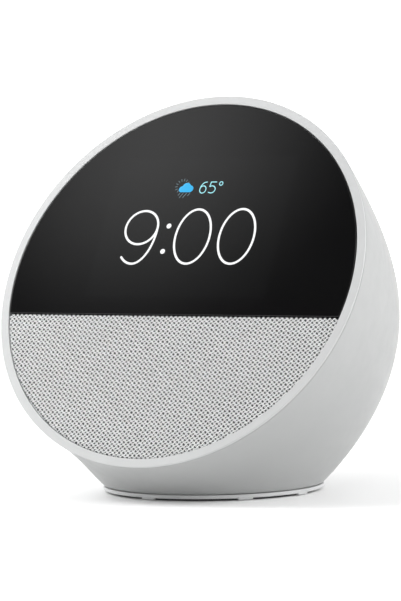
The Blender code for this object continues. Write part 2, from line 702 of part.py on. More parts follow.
def make_board(face):
    """The main board behind the screen, with its processor, shield, radio and heat spreader."""
    outline = rounded_rectangle(*BOARD_SIZE, 2 * MM, (0.0, BOARD_V))
    board = plate("main_board", outline, BOARD_BACK, BOARD_FRONT, BOARD_GREEN, face)
    holes = cylinders("board_holes", board_places(), SCREW_HOLE, -16 * MM, -13 * MM, 8, face)
    boolean(board, holes, "DIFFERENCE")
    for i, place in enumerate(board_places()):
        screw(f"board_screw_{i + 1}", place, -15.4 * MM, -16.6 * MM, -10.3 * MM, STEEL, face)
    chip = (12 * MM, 12 * MM, 1.0 * MM)
    block("processor_chip", chip, (*CHIP_CENTRE, -15.9 * MM), DARK_PLASTIC, face)
    size = (26 * MM, 22 * MM, 2.4 * MM)
    can = block("shield_can", size, (*CHIP_CENTRE, -16.6 * MM), ALUMINIUM, face, 1 * MM)
    size = (25 * MM, 21 * MM, 2.4 * MM)
    inside = block("can_inside", size, (*CHIP_CENTRE, -16.1 * MM), None, face, 0.6 * MM)
    boolean(can, inside, "DIFFERENCE")
    radio = (14 * MM, 12 * MM, 1.8 * MM)
    block("radio_module", radio, (17 * MM, 15 * MM, -16.3 * MM), ALUMINIUM, face)
    spreader = (42 * MM, 28 * MM, 1.0 * MM)
    block("heat_spreader", spreader, (-1 * MM, 18 * MM, -18.6 * MM), ALUMINIUM, face, 2 * MM)


def face_to_world(v, z):
    """The (y, z) of a point in the middle plane of the face's frame."""
    point = FACE_CENTRE + FACE_UP * v + FACE_OUT * z
    return point.y, point.z


def make_cables(inlet_frame):
    """The flat cables and the inlet's lead."""
    path = [(40.7, -5.6), (43.2, -5.6), (44.0, -6.6), (44.0, -12.0), (43.2, -14.3), (38.0, -16.2)]
    points = [face_to_world(v * MM, z * MM) for v, z in path]
    ribbon("display_flex", points, 0.4 * MM, -5 * MM, 5 * MM, FLEX_AMBER)

    side = math.radians(65)
    start = dome_point(side, 0.215) - dome_normal(side, 0.215) * 10.0 * MM
    middle = face_to_world(28 * MM, -30 * MM)
    end = face_to_world(6 * MM, -15.6 * MM)
    turn = face_to_world(8 * MM, -27 * MM)
    knee = face_to_world(4.5 * MM, -20 * MM)
    points = [(start.y, start.z), middle, turn, knee, end]
    ribbon("button_flex", points, 0.4 * MM, 22 * MM, 25.5 * MM, FLEX_AMBER)

    back = inlet_frame.matrix_world @ Vector((0.0, 0.0, -17.4 * MM))
    inward = -(inlet_frame.matrix_world.to_3x3() @ Vector((0.0, 0.0, 1.0)))
    end = FACE_CENTRE - FACE_OUT * 16.8 * MM
    control = [back, back + inward * 8 * MM, end - FACE_OUT * 14 * MM, end]
    curve = bpy.data.curves.new("jack_cable", "CURVE")
    curve.dimensions = "3D"
    curve.bevel_depth = 1.2 * MM
    curve.bevel_resolution = 1
    curve.use_fill_caps = True
    spline = curve.splines.new("POLY")
    count = 10
    spline.points.add(count - 1)
    for i in range(count):
        t = i / (count - 1)
        s = 1 - t
        point = (control[0] * s ** 3 + control[1] * 3 * s * s * t
                 + control[2] * 3 * s * t * t + control[3] * t ** 3)
        spline.points[i].co = (*point, 1.0)
    cable = bpy.data.objects.new("jack_cable", curve)
    bpy.context.scene.collection.objects.link(cable)
    curve.materials.append(material("jack_cable", *DARK_PLASTIC))


# ---------------------------------------------------------------- controls and inlet

def make_buttons(frames, mic_frames):
    """Three round push buttons, each over its own switch, and the microphones between them."""
    radius = BUTTON_RADIUS
    for name, frame in zip(BUTTON_NAMES, frames):
        turned(f"button_{name}", [
            (0.0, BUTTON_PROUD), (radius - 0.6 * MM, BUTTON_PROUD - 0.2 * MM),
            (radius, BUTTON_PROUD - 0.7 * MM),
            (radius, -2.9 * MM), (radius + 0.9 * MM, -2.9 * MM), (radius + 0.9 * MM, -3.7 * MM),
            (1.5 * MM, -3.7 * MM), (1.5 * MM, -5.2 * MM), (0.0, -5.2 * MM),
        ], 20, SHELL_WHITE, frame)
        switch = block(f"switch_{name}", (4.5 * MM, 4.5 * MM, 1.5 * MM), (0, 0, -7.3 * MM), STEEL, frame)
        plunger = cylinders(f"plunger_{name}", [(0, 0)], 1.2 * MM, -7.0 * MM, -SWITCH_TOP, 12, frame)
        boolean(switch, plunger, "UNION")
    for name, frame in zip(("right", "left"), mic_frames):
        block(f"mic_{name}", (3.5 * MM, 2.7 * MM, 1.0 * MM), (0, 0, -7.5 * MM), STEEL, frame)
        turned(f"mic_gasket_{name}", [
            (0.8 * MM, -2.6 * MM), (1.9 * MM, -2.6 * MM), (1.9 * MM, -6.7 * MM), (0.8 * MM, -6.7 * MM),
        ], 12, RUBBER_DARK, frame)
    angles = (90 - 27, 90 + 27)
    dome_patch("button_board", angles, (0.105, 0.18), (8.5 * MM, 9.1 * MM), BOARD_GREEN)
    dome_patch("button_bracket", angles, (0.09, 0.195), (9.5 * MM, 11.0 * MM), GREY_PLASTIC)


def make_inlet(frame):
    """The round power inlet: a collar with a recess, and the jack at the recess's floor."""
    turned("jack_collar", [
        (4.9 * MM, -0.5 * MM), (5.2 * MM, -0.2 * MM), (INLET_RADIUS - GAP, -0.2 * MM),
        (INLET_RADIUS - GAP, -3.2 * MM), (7.4 * MM, -3.2 * MM), (7.4 * MM, -4.2 * MM),
        (INLET_RADIUS - GAP, -4.2 * MM), (INLET_RADIUS - GAP, -6.8 * MM),
        (3.2 * MM, -6.8 * MM), (3.2 * MM, -5.8 * MM), (4.9 * MM, -5.8 * MM),
    ], 24, DARK_PLASTIC, frame)
    turned("power_jack", [
        (0.0, -8.2 * MM), (0.7 * MM, -8.2 * MM), (0.9 * MM, -8.5 * MM), (0.9 * MM, -15.6 * MM),
        (2.8 * MM, -15.6 * MM), (2.8 * MM, -7.1 * MM), (5.2 * MM, -7.1 * MM),
        (5.2 * MM, -17.0 * MM), (0.0, -17.0 * MM),
    ], 24, FERRITE, frame)


def make_antenna():
    """The flexible antenna that lies just inside the dome's side."""
    dome_patch("antenna", (0.0, 18.0), (0.42, 0.60), (2.9 * MM, 3.3 * MM), FLEX_AMBER, (4, 4))


def main():
    clear_scene()
    tilt = Matrix.Rotation(math.pi / 2 - FACE_TILT, 4, "X")
    face = empty("face_frame", Matrix.Translation(FACE_CENTRE) @ tilt)
    button_frames = []
    for i, offset in enumerate((-BUTTON_ANGLE, 0.0, BUTTON_ANGLE)):
        matrix = dome_frame(math.radians(90 + offset), BUTTON_ALONG)
        button_frames.append(empty(f"button_frame_{i}", matrix))
    mic_frames = []
    for i, offset in enumerate((-MIC_ANGLE, MIC_ANGLE)):
        matrix = dome_frame(math.radians(90 + offset), BUTTON_ALONG)
        mic_frames.append(empty(f"mic_frame_{i}", matrix))
    inlet_frame = empty("inlet_frame", dome_frame(math.radians(90), INLET_ALONG))

    base = make_shell(button_frames, mic_frames, inlet_frame)
    make_base(base)
    make_ring(face)
    make_face_plates(face)
    make_display(face)
    make_chassis(face)
    make_speaker(face)
    make_board(face)
    make_buttons(button_frames, mic_frames)
    make_inlet(inlet_frame)
    make_antenna()
    bpy.context.view_layer.update()
    make_cables(inlet_frame)


main()
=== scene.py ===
from math import atan2, ceil, cos, floor, hypot, pi, radians, sin, sqrt, tan, tau

import bmesh
import bpy
import numpy as np
from mathutils import Matrix, Vector
from mathutils.bvhtree import BVHTree


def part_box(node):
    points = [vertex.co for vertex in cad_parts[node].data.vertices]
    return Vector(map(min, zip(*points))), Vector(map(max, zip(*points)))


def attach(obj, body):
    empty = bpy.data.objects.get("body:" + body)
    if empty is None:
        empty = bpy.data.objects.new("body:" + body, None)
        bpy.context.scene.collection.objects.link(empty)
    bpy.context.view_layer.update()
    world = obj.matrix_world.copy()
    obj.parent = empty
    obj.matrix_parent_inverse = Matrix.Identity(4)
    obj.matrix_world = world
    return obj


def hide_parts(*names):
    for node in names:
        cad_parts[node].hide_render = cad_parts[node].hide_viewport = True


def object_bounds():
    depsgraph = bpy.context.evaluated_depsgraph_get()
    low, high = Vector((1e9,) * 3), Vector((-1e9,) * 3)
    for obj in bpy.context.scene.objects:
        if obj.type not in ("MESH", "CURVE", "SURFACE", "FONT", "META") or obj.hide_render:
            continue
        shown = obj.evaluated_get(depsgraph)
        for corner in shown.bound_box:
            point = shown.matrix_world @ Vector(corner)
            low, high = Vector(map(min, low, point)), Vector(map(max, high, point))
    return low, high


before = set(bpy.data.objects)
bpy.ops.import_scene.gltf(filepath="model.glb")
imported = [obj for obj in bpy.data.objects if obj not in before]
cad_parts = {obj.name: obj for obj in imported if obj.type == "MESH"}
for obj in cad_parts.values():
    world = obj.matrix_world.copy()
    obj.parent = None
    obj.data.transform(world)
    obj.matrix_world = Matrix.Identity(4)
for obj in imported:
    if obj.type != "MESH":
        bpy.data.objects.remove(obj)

CAD_LOW, CAD_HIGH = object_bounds()
MM = 0.001

# ---- the housing's shape, as in the CAD

FACE_TILT = radians(28.0)
RING_RADIUS = 56.5 * MM
RING_INNER_RADIUS = 54.0 * MM
RING_EDGE = 0.3 * MM
GAP = 0.3 * MM
FACE_PARTING = -11.5 * MM
SHELL_SET_BACK = 0.8 * MM
SHELL_RIM_WALL = 1.2 * MM
SHELL_WALL = 2.0 * MM
SHELL_THICKENS_FROM = 5.0 * MM
SHELL_THICKENS_OVER = 4.0 * MM
RIM_LEVEL_DEPTH = 4.0 * MM
BASE_EDGE_RADIUS = 30.8 * MM
BASE_EDGE_Z = 1.9 * MM
# the dome's curves at the front and at the back
TOP_PULL = (3.0 * MM, 64.4 * MM)
BASE_PULL = (3.0 * MM, 69.6 * MM)
TOP_SPREAD = 1.52
BASE_SPREAD = 1.69
RING_TAPER = (-0.18, -0.13)
BASE_FLARE = (0.672, 0.815)
CAP_TOP = 2.9 * MM
FLANGE_TOP = 5.6 * MM
FLANGE_RADIUS = 22.0 * MM
PAD_RADIUS = 29.4 * MM
PAD_THICKNESS = 0.8 * MM
LIP_RADIUS = 31.0 * MM
LIP_BOTTOM = 0.55 * MM
BASE_SCREW_CIRCLE = 26.0 * MM
TAB_ANGLES = (-95.5, -43.5, -7.0, 84.5, 136.5, 173.0)
BUTTON_ALONG = 0.14
BUTTON_ANGLE = 19.0
MIC_ANGLE = 9.5
BUTTON_RADIUS = 5.0 * MM
INLET_ALONG = 0.82
INLET_RADIUS = 6.3 * MM
SCREW_HOLE = 1.3 * MM
RING_BOSS_CIRCLE = 48.5 * MM
RING_BOSS_ANGLES = (0.0, 180.0, 222.0, 318.0)

FACE_OUT = np.array([0.0, -cos(FACE_TILT), sin(FACE_TILT)])
FACE_UP = np.array([0.0, sin(FACE_TILT), cos(FACE_TILT)])
ALONG_X = np.array([1.0, 0.0, 0.0])
ALONG_Z = np.array([0.0, 0.0, 1.0])
FACE_CENTRE = np.array([
    0.0,
    CAD_LOW.y + (RING_RADIUS - RING_EDGE) * sin(FACE_TILT),
    CAD_HIGH.z - RING_RADIUS * cos(FACE_TILT) + RING_EDGE * sin(FACE_TILT),
])
PAD_LOW, PAD_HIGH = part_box("foot_pad")
BASE_CENTRE = np.array([0.0, (PAD_LOW.y + PAD_HIGH.y) / 2, 0.0])


def axes_frame(x_axis, y_axis, z_axis, place):
    """A matrix that puts local X, Y and Z along three directions at a place."""
    matrix = Matrix((Vector(x_axis), Vector(y_axis), Vector(z_axis))).transposed().to_4x4()
    matrix.translation = Vector(place)
    return matrix


FACE = axes_frame(ALONG_X, FACE_UP, FACE_OUT, FACE_CENTRE)
BASE = Matrix.Translation(Vector(BASE_CENTRE))


def unit(vectors):
    return vectors / np.linalg.norm(vectors, axis=-1, keepdims=True)


def blend(one, two, share):
    return one + (two - one) * share


def dome_points(angle, along):
    """Points of the outer surface, from the ring (along 0) to the base (along 1), 90 degrees at the back."""
    angle, along = np.broadcast_arrays(np.asarray(angle, float), np.asarray(along, float))
    cosine, sine, s = np.cos(angle)[..., None], np.sin(angle)[..., None], along[..., None]
    back = (1 + sine) / 2
    out = ALONG_X * cosine + FACE_UP * sine
    start = FACE_CENTRE + out * RING_RADIUS - FACE_OUT * SHELL_SET_BACK
    taper = blend(*RING_TAPER, back)
    pull = blend(*TOP_PULL, back ** TOP_SPREAD)
    start_handle = start + (out * np.sin(taper) - FACE_OUT * np.cos(taper)) * pull
    level = np.concatenate([cosine, sine, np.zeros_like(cosine)], axis=-1)
    end = BASE_CENTRE + ALONG_Z * BASE_EDGE_Z + level * BASE_EDGE_RADIUS
    flare = blend(*BASE_FLARE, back)
    pull = blend(*BASE_PULL, back ** BASE_SPREAD)
    end_handle = end + (level * np.cos(flare) + ALONG_Z * np.sin(flare)) * pull
    rest = 1 - s
    return (start * rest ** 3 + start_handle * 3 * rest ** 2 * s
            + end_handle * 3 * rest * s ** 2 + end * s ** 3)


def dome_normals(angle, along):
    step = 1e-3
    middle = np.clip(along, step, 1 - step)
    around = dome_points(angle + step, middle) - dome_points(angle - step, middle)
    down = dome_points(angle, middle + step) - dome_points(angle, middle - step)
    return unit(np.cross(down, around))


def inner_points(angle, along):
    """The shell's inner surface: thin behind the ring, thicker further back, with a flat rim."""
    point = dome_points(angle, along)
    behind = (FACE_CENTRE - point) @ FACE_OUT
    grow = np.clip((behind - SHELL_THICKENS_FROM) / SHELL_THICKENS_OVER, 0.0, 1.0)
    wall = SHELL_RIM_WALL + (SHELL_WALL - SHELL_RIM_WALL) * grow * grow * (3 - 2 * grow)
    normal = dome_normals(angle, along)
    level = np.clip(1 - (behind - SHELL_SET_BACK) / RIM_LEVEL_DEPTH, 0.0, None)
    inward = normal - FACE_OUT * (normal @ FACE_OUT * level)[..., None]
    return point - unit(inward) * wall[..., None]


def dome_frame(degrees, along):
    """A frame on the dome: local Z out of it and local X level."""
    angle = radians(degrees)
    z_axis = dome_normals(angle, along)
    y_axis = unit(ALONG_Z - z_axis * z_axis[2])
    return axes_frame(np.cross(y_axis, z_axis), y_axis, z_axis, dome_points(angle, along))


BUTTONS = {
    "volume_up": dome_frame(90 - BUTTON_ANGLE, BUTTON_ALONG),
    "mic_off": dome_frame(90, BUTTON_ALONG),
    "volume_down": dome_frame(90 + BUTTON_ANGLE, BUTTON_ALONG),
}
MICS = [dome_frame(90 + side * MIC_ANGLE, BUTTON_ALONG) for side in (-1, 1)]
INLET = dome_frame(90, INLET_ALONG)


def on_circle(radius, angles):
    """Places on a circle at angles in degrees."""
    return [(radius * cos(radians(d)), radius * sin(radians(d))) for d in angles]


BASE_SCREWS = on_circle(BASE_SCREW_CIRCLE, (90, 210, 330))
RING_BOSSES = on_circle(RING_BOSS_CIRCLE, RING_BOSS_ANGLES)

# ---- mesh tools


SHARP_ANGLE = radians(32)
ROUND_STEPS = 4
CORNER_STEPS = 8
QUARTER = [pi / 2 * k / ROUND_STEPS for k in range(ROUND_STEPS + 1)]
LONGEST_CUT = 0.49
STROKE_TOP = 0.8


def sharpen(mesh):
    mesh.shade_smooth()
    mesh.set_sharp_from_angle(angle=SHARP_ANGLE)


def add_object(name, data):
    made = bpy.data.objects.new(name, data)
    bpy.context.scene.collection.objects.link(made)
    return made


def link_piece(name, mesh, material, place):
    """Makes a piece of a mesh that is moved to its place."""
    if place is not None:
        mesh.transform(place)
    if material is not None:
        mesh.materials.append(material)
    return add_object(name, mesh)


def add_piece(name, build, material, place):
    """Makes a piece from a bmesh built in a local frame."""
    bmesh.ops.recalc_face_normals(build, faces=build.faces)
    mesh = bpy.data.meshes.new(name)
    build.to_mesh(mesh)
    build.free()
    piece = link_piece(name, mesh, material, place)
    sharpen(mesh)
    return piece


def flatten_normals(piece):
    """Lets the large flat faces set the normals at their rounded edges."""
    weighted = piece.modifiers.new("weighted", "WEIGHTED_NORMAL")
    weighted.keep_sharp = True
    weighted.weight = 100


def array_piece(name, points, faces, material, place):
    """Makes a piece from arrays of points and equal-sided faces."""
    mesh = bpy.data.meshes.new(name)
    points = np.asarray(points, np.float32)
    faces = np.asarray(faces, np.int32)
    count, sides = faces.shape
    mesh.vertices.add(len(points))
    mesh.vertices.foreach_set("co", points.ravel())
    mesh.loops.add(count * sides)
    mesh.loops.foreach_set("vertex_index", faces.ravel())
    mesh.polygons.add(count)
    mesh.polygons.foreach_set("loop_start", np.arange(0, count * sides, sides, dtype=np.int32))
    mesh.update(calc_edges=True)
    mesh.validate()
    piece = link_piece(name, mesh, material, place)
    mesh.shade_smooth()
    return piece


def bridge(build, rings, closed):
    """Joins each ring of vertices to the next, and the last to the first if closed."""
    for one, two in zip(rings, rings[1:] + rings[:1] if closed else rings[1:]):
        count = max(len(one), len(two))
        for i in range(count if count > 1 else 0):
            j = (i + 1) % count
            corners = (one[i % len(one)], one[j % len(one)], two[j % len(two)], two[i % len(two)])
            build.faces.new(list(dict.fromkeys(corners)))


def soften(corners, steps=5):
    """Rounds the corners of a closed profile given as (x, y, radius)."""
    made = []
    for i, (x, y, radius) in enumerate(corners):
        if radius <= 0:
            made.append((x, y))
            continue
        here = Vector((x, y))
        before = Vector(corners[i - 1][:2]) - here
        after = Vector(corners[(i + 1) % len(corners)][:2]) - here
        half = before.angle(after) / 2
        reach = min(radius / tan(half), before.length * LONGEST_CUT, after.length * LONGEST_CUT)
        radius = reach * tan(half)
        middle = (before.normalized() + after.normalized()).normalized()
        centre = here + middle * (radius / sin(half))
        first = here + before.normalized() * reach - centre
        last = here + after.normalized() * reach - centre
        turn = atan2(first.x * last.y - first.y * last.x, first.dot(last))
        for step in range(steps + 1):
            angle = turn * step / steps
            cosine, sine = cos(angle), sin(angle)
            made.append((centre.x + first.x * cosine - first.y * sine,
                         centre.y + first.x * sine + first.y * cosine))
    return made


def ellipse_path(centre, reach, start=0.0, end=tau, steps=72, closed=True):
    count = steps if closed else steps + 1
    angles = [start + (end - start) * i / steps for i in range(count)]
    return [(centre[0] + reach[0] * cos(a), centre[1] + reach[1] * sin(a)) for a in angles]


def turned_mesh(build, profile, segments, centre=(0.0, 0.0)):
    """Turns a profile of (radius, z) about local Z. It is closed, or has both ends on the axis."""
    rings = []
    for radius, z in profile:
        if radius == 0:
            rings.append([build.verts.new((*centre, z))])
        else:
            circle = ellipse_path(centre, (radius, radius), steps=segments)
            rings.append([build.verts.new((x, y, z)) for x, y in circle])
    bridge(build, rings, True)


def turned(name, corners, segments, material, place, steps=5):
    """A turned piece from a profile of (radius, z, rounding) in millimetres."""
    build = bmesh.new()
    turned_mesh(build, soften([(r * MM, z * MM, f * MM) for r, z, f in corners], steps), segments)
    return add_piece(name, build, material, place)


def pins(name, radius, low, high, places, segments, place):
    """One guide mesh of plain cylinders at several places in a frame."""
    build = bmesh.new()
    for centre in places:
        turned_mesh(build, [(0.0, low), (radius, low), (radius, high), (0.0, high)], segments, centre)
    return add_piece(name, build, None, place)


def combine(target, tools, operation):
    """Applies booleans to a piece and removes the guides."""
    for tool in tools:
        change = target.modifiers.new("combine", "BOOLEAN")
        change.operation = operation
        change.solver = "EXACT"
        change.object = tool
    graph = bpy.context.evaluated_depsgraph_get()
    graph.update()
    result = bpy.data.meshes.new_from_object(target.evaluated_get(graph), depsgraph=graph)
    target.modifiers.clear()
    old = target.data
    target.data = result
    result.name = old.name
    bpy.data.meshes.remove(old)
    for tool in tools:
        mesh = tool.data
        bpy.data.objects.remove(tool)
        bpy.data.meshes.remove(mesh)
    sharpen(result)
    return result


def plate_layers(build, layers):
    """A plate from same-sized outlines of (x, y), each at its z, with a flat face at each end."""
    rings = [[build.verts.new((x, y, z)) for x, y in outline] for outline, z in layers]
    bridge(build, rings, False)
    build.faces.new(list(reversed(rings[0])))
    build.faces.new(rings[-1])


def plate(name, layers, material, place):
    build = bmesh.new()
    plate_layers(build, layers)
    return add_piece(name, build, material, place)


def disc_segment(radius, chord, upper, corner, steps):
    """A disc's part above or below a chord, with round corners where the two meet."""
    side = 1.0 if upper else -1.0
    level = chord * side
    reach = sqrt((radius - corner) ** 2 - (level + corner) ** 2)
    start = atan2(level + corner, reach)
    outline = []
    for step in range(steps + 1):
        angle = start + (pi - 2 * start) * step / steps
        outline.append((radius * cos(angle), side * radius * sin(angle)))
    for centre_x, first, last in ((-reach, pi - start, 1.5 * pi),
                                  (reach, 1.5 * pi, tau + start)):
        for step in range(CORNER_STEPS + 1):
            if (centre_x < 0 and step == 0) or (centre_x > 0 and step == CORNER_STEPS):
                continue
            angle = first + (last - first) * step / CORNER_STEPS
            outline.append((centre_x + corner * cos(angle),
                            side * (level + corner + corner * sin(angle))))
    if not upper:
        outline.reverse()
    return outline


def stroke(build, path, width, low, high, closed=False):
    """A raised line of constant width with round ends, along a path of (x, y) in a local frame."""
    points = [Vector(p) for p in path]
    count = len(points)
    stations = []
    for i, here in enumerate(points):
        before = points[i - 1] if closed or i else here
        after = points[(i + 1) % count] if closed or i < count - 1 else here
        stations.append((here, (after - before).normalized(), width / 2))
    if not closed:
        caps = []
        for (here, along, half), sign in ((stations[0], -1), (stations[-1], 1)):
            caps.append([(here + along * sign * half * sin(turn), along,
                          half * cos(turn) + 1e-6) for turn in QUARTER[1:]])
        stations = caps[0][::-1] + stations + caps[1]
    rings = []
    for here, along, reach in stations:
        side = Vector((-along.y, along.x))
        ring = []
        for share, z in ((-1.0, low), (-STROKE_TOP, high), (STROKE_TOP, high), (1.0, low)):
            spot = here + side * reach * share
            ring.append(build.verts.new((spot.x, spot.y, z)))
        rings.append(ring)
    bridge(build, rings, closed)
    if not closed:
        build.faces.new(rings[0])
        build.faces.new(list(reversed(rings[-1])))


def stand_in(piece, node, body="housing"):
    """Rides a piece on its body in place of a CAD node."""
    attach(piece, body)
    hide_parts(node)


# ---- materials


class Nodes:
    """Adds nodes to a tree. Underscores in the names of inputs stand for spaces."""

    def __init__(self, tree):
        self.tree = tree

    def node(self, kind, **settings):
        made = self.tree.nodes.new("ShaderNode" + kind)
        for key, value in settings.items():
            setattr(made, key, value)
        return made

    def link(self, source, target):
        self.tree.links.new(source, target)

    def spread(self, source, low, high, start=0.3, end=0.7, **settings):
        """Maps the range from start to end onto low to high."""
        made = self.node("MapRange", **settings)
        self.link(source, made.inputs["Value"])
        put(made, From_Min=start, From_Max=end, To_Min=low, To_Max=high)
        return made.outputs[0]


def put(node, **values):
    for socket, value in values.items():
        node.inputs[socket.replace("_", " ")].default_value = value


class Finish(Nodes):
    """Builds one procedural material: a Principled shader fed by noise in object space."""

    def __init__(self, name, roughness=0.5, metallic=0.0, **constant):
        self.material = bpy.data.materials.new(name)
        self.material.use_nodes = True
        super().__init__(self.material.node_tree)
        self.tree.nodes.clear()
        self.output = self.node("OutputMaterial")
        self.shader = self.node("BsdfPrincipled")
        self.link(self.shader.outputs[0], self.output.inputs[0])
        put(self.shader, Roughness=roughness, Metallic=metallic, **constant)
        self.place = self.node("TexCoord").outputs["Object"]

    def texture(self, kind, source=None, settings=None, **values):
        """A node fed by a place."""
        made = self.node(kind, **(settings or {}))
        put(made, **values)
        self.link(self.place if source is None else source, made.inputs["Vector"])
        return made

    def noise(self, scale, detail=3.0, stretch=None):
        """Noise of about 1/scale metres; stretch is a scale for each axis."""
        source = None
        if stretch is not None:
            source = self.texture("Mapping", Scale=stretch).outputs[0]
        return self.texture("TexNoise", source, Scale=scale, Detail=detail).outputs["Fac"]

    def in_face(self):
        """The place in the face's own frame."""
        turn = (pi / 2 - FACE_TILT, 0.0, 0.0)
        return self.texture("Mapping", settings={"vector_type": "TEXTURE"},
                            Location=tuple(FACE_CENTRE), Rotation=turn).outputs[0]

    def mix(self, share, one, two):
        made = self.node("Mix", data_type="RGBA")
        self.link(share, made.inputs[0])
        for socket, value in ((6, one), (7, two)):
            if isinstance(value, tuple):
                made.inputs[socket].default_value = (*value, 1.0)
            else:
                self.link(value, made.inputs[socket])
        return made.outputs[2]

    def math(self, operation, *values):
        made = self.node("Math", operation=operation)
        for socket, value in zip(made.inputs, values):
            if isinstance(value, float):
                socket.default_value = value
            else:
                self.link(value, socket)
        return made.outputs[0]

    def colour(self, source):
        self.link(source, self.shader.inputs["Base Color"])

    def rough(self, source):
        self.link(source, self.shader.inputs["Roughness"])

    def bump(self, height, distance, strength):
        made = self.node("Bump")
        put(made, Distance=distance, Strength=strength)
        self.link(height, made.inputs["Height"])
        self.link(made.outputs[0], self.shader.inputs["Normal"])


def moulded(name, light, dark, roughness, grain, depth, **constant):
    """Moulded plastic: a faint flow mottle, a roughness that wanders and a fine spark-eroded grain."""
    made = Finish(name, roughness, **constant)
    made.colour(made.mix(made.spread(made.noise(55.0), 0.0, 1.0), dark, light))
    made.rough(made.spread(made.noise(240.0, 4.0), roughness - 0.05, roughness + 0.06))
    made.bump(made.noise(grain, 2.0), depth, 0.5)
    return made.material


def metal(name, light, dark, roughness, stretch=(900.0, 60.0, 60.0)):
    """Metal with drawn lines and dull patches."""
    made = Finish(name, roughness, 1.0)
    made.colour(made.mix(made.spread(made.noise(120.0), 0.0, 1.0), dark, light))
    lines = made.noise(1.0, 3.0, stretch)
    made.rough(made.spread(lines, roughness - 0.08, roughness + 0.12))
    made.bump(lines, 3e-5, 0.3)
    return made.material


# One white plastic in two tones: the shell and its buttons get a darker copy of the white used on the ring
# and base cap. The lower tone is painted shade on the shell, not a different plastic.
SHADED_SHELL_WHITE = moulded("shell_white", (0.402, 0.408, 0.406), (0.390, 0.396, 0.396), 0.42, 5200.0, 2e-5,
                      Specular_IOR_Level=0.45)
RING_WHITE = moulded("ring_white", (0.562, 0.569, 0.569), (0.552, 0.558, 0.559), 0.36, 6500.0, 1e-5,
                     Specular_IOR_Level=0.5)
DARK_PLASTIC = moulded("dark_plastic", (0.030, 0.031, 0.034), (0.018, 0.018, 0.020), 0.5, 3000.0, 4e-5)
GREY_PLASTIC = moulded("grey_plastic", (0.34, 0.35, 0.36), (0.29, 0.30, 0.31), 0.5, 2600.0, 4e-5)
SYMBOL_GREY = moulded("symbol_grey", (0.30, 0.31, 0.32), (0.26, 0.27, 0.28), 0.5, 4000.0, 1e-5)
RUBBER = moulded("rubber", (0.030, 0.030, 0.031), (0.018, 0.018, 0.019), 0.78, 1800.0, 8e-5)
FOAM = moulded("foam", (0.055, 0.055, 0.057), (0.020, 0.020, 0.022), 0.95, 1400.0, 0.0003)
STEEL = metal("steel", (0.60, 0.60, 0.61), (0.50, 0.50, 0.51), 0.34)
ALUMINIUM = metal("aluminium", (0.78, 0.78, 0.79), (0.70, 0.70, 0.72), 0.30)
COPPER = metal("copper", (0.75, 0.44, 0.27), (0.62, 0.34, 0.20), 0.32, (60.0, 60.0, 2600.0))
FERRITE = moulded("ferrite", (0.075, 0.075, 0.08), (0.045, 0.045, 0.05), 0.6, 900.0, 8e-5)
PAPER = moulded("paper_cone", (0.085, 0.085, 0.09), (0.05, 0.05, 0.055), 0.82, 2200.0, 8e-5)
FLEX = moulded("flex", (0.48, 0.22, 0.035), (0.36, 0.15, 0.02), 0.38, 800.0, 2e-5)


def make_board_finish():
    """Green solder mask with square copper traces and small pads."""
    made = Finish("circuit_board", 0.42)
    brick = made.texture("TexBrick", settings={"offset": 0.37, "squash": 1.4},
                         Scale=260.0, Mortar_Size=0.035)
    pads = made.texture("TexVoronoi", Scale=420.0)
    mask = made.mix(brick.outputs["Fac"], (0.012, 0.095, 0.050), (0.030, 0.190, 0.090))
    dots = made.spread(pads.outputs["Distance"], 1.0, 0.0, 0.10, 0.16)
    made.colour(made.mix(dots, mask, (0.62, 0.60, 0.52)))
    made.bump(brick.outputs["Fac"], 3e-5, 0.5)
    return made.material


SCREEN_V = 15.5 * MM
LIT_HALF = (28.8 * MM, 21.6 * MM)
LIT_BLEND = 0.1 * MM


def make_glass_finish():
    """Black-backed glass, with the screen's lit area a shade lighter than its printed border."""
    made = Finish("cover_glass", 0.06, Specular_IOR_Level=0.5, IOR=1.5)
    split = made.node("SeparateXYZ")
    made.link(made.in_face(), split.inputs[0])
    across = made.math("ABSOLUTE", split.outputs["X"])
    upward = made.math("ABSOLUTE", made.math("SUBTRACT", split.outputs["Y"], SCREEN_V))
    inside = made.math("MULTIPLY", *(
        made.spread(reach, 1.0, 0.0, half - LIT_BLEND, half + LIT_BLEND)
        for reach, half in zip((across, upward), LIT_HALF)))
    made.colour(made.mix(inside, (0.0027, 0.0027, 0.0029), (0.0040, 0.0041, 0.0043)))
    made.rough(made.spread(made.noise(90.0, 4.0), 0.045, 0.085))
    made.bump(made.noise(60.0, 1.0), 2e-5, 0.1)
    return made.material


BOARD = make_board_finish()
GLASS = make_glass_finish()


def lit(name, light, dark, strength):
    """A lit part of the screen: emission with the faint dot grid of its pixels."""
    made = Finish(name, 0.4, Base_Color=(0.01, 0.01, 0.012, 1.0), Emission_Strength=strength)
    dots = made.texture("TexVoronoi", Scale=7000.0)
    tone = made.mix(made.spread(dots.outputs["Distance"], 0.0, 1.0, 0.2, 0.8), light, dark)
    made.link(tone, made.shader.inputs["Emission Color"])
    return made.material


LIT_WHITE = lit("lit_white", (1.0, 1.0, 1.0), (0.94, 0.95, 0.96), 1.1)
LIT_CYAN = lit("lit_cyan", (0.36, 0.78, 0.84), (0.30, 0.72, 0.80), 1.25)
LIT_BLUE = lit("lit_blue", (0.050, 0.52, 0.95), (0.040, 0.48, 0.90), 1.0)
LIT_DIM = lit("lit_dim", (0.24, 0.33, 0.37), (0.20, 0.29, 0.33), 1.0)


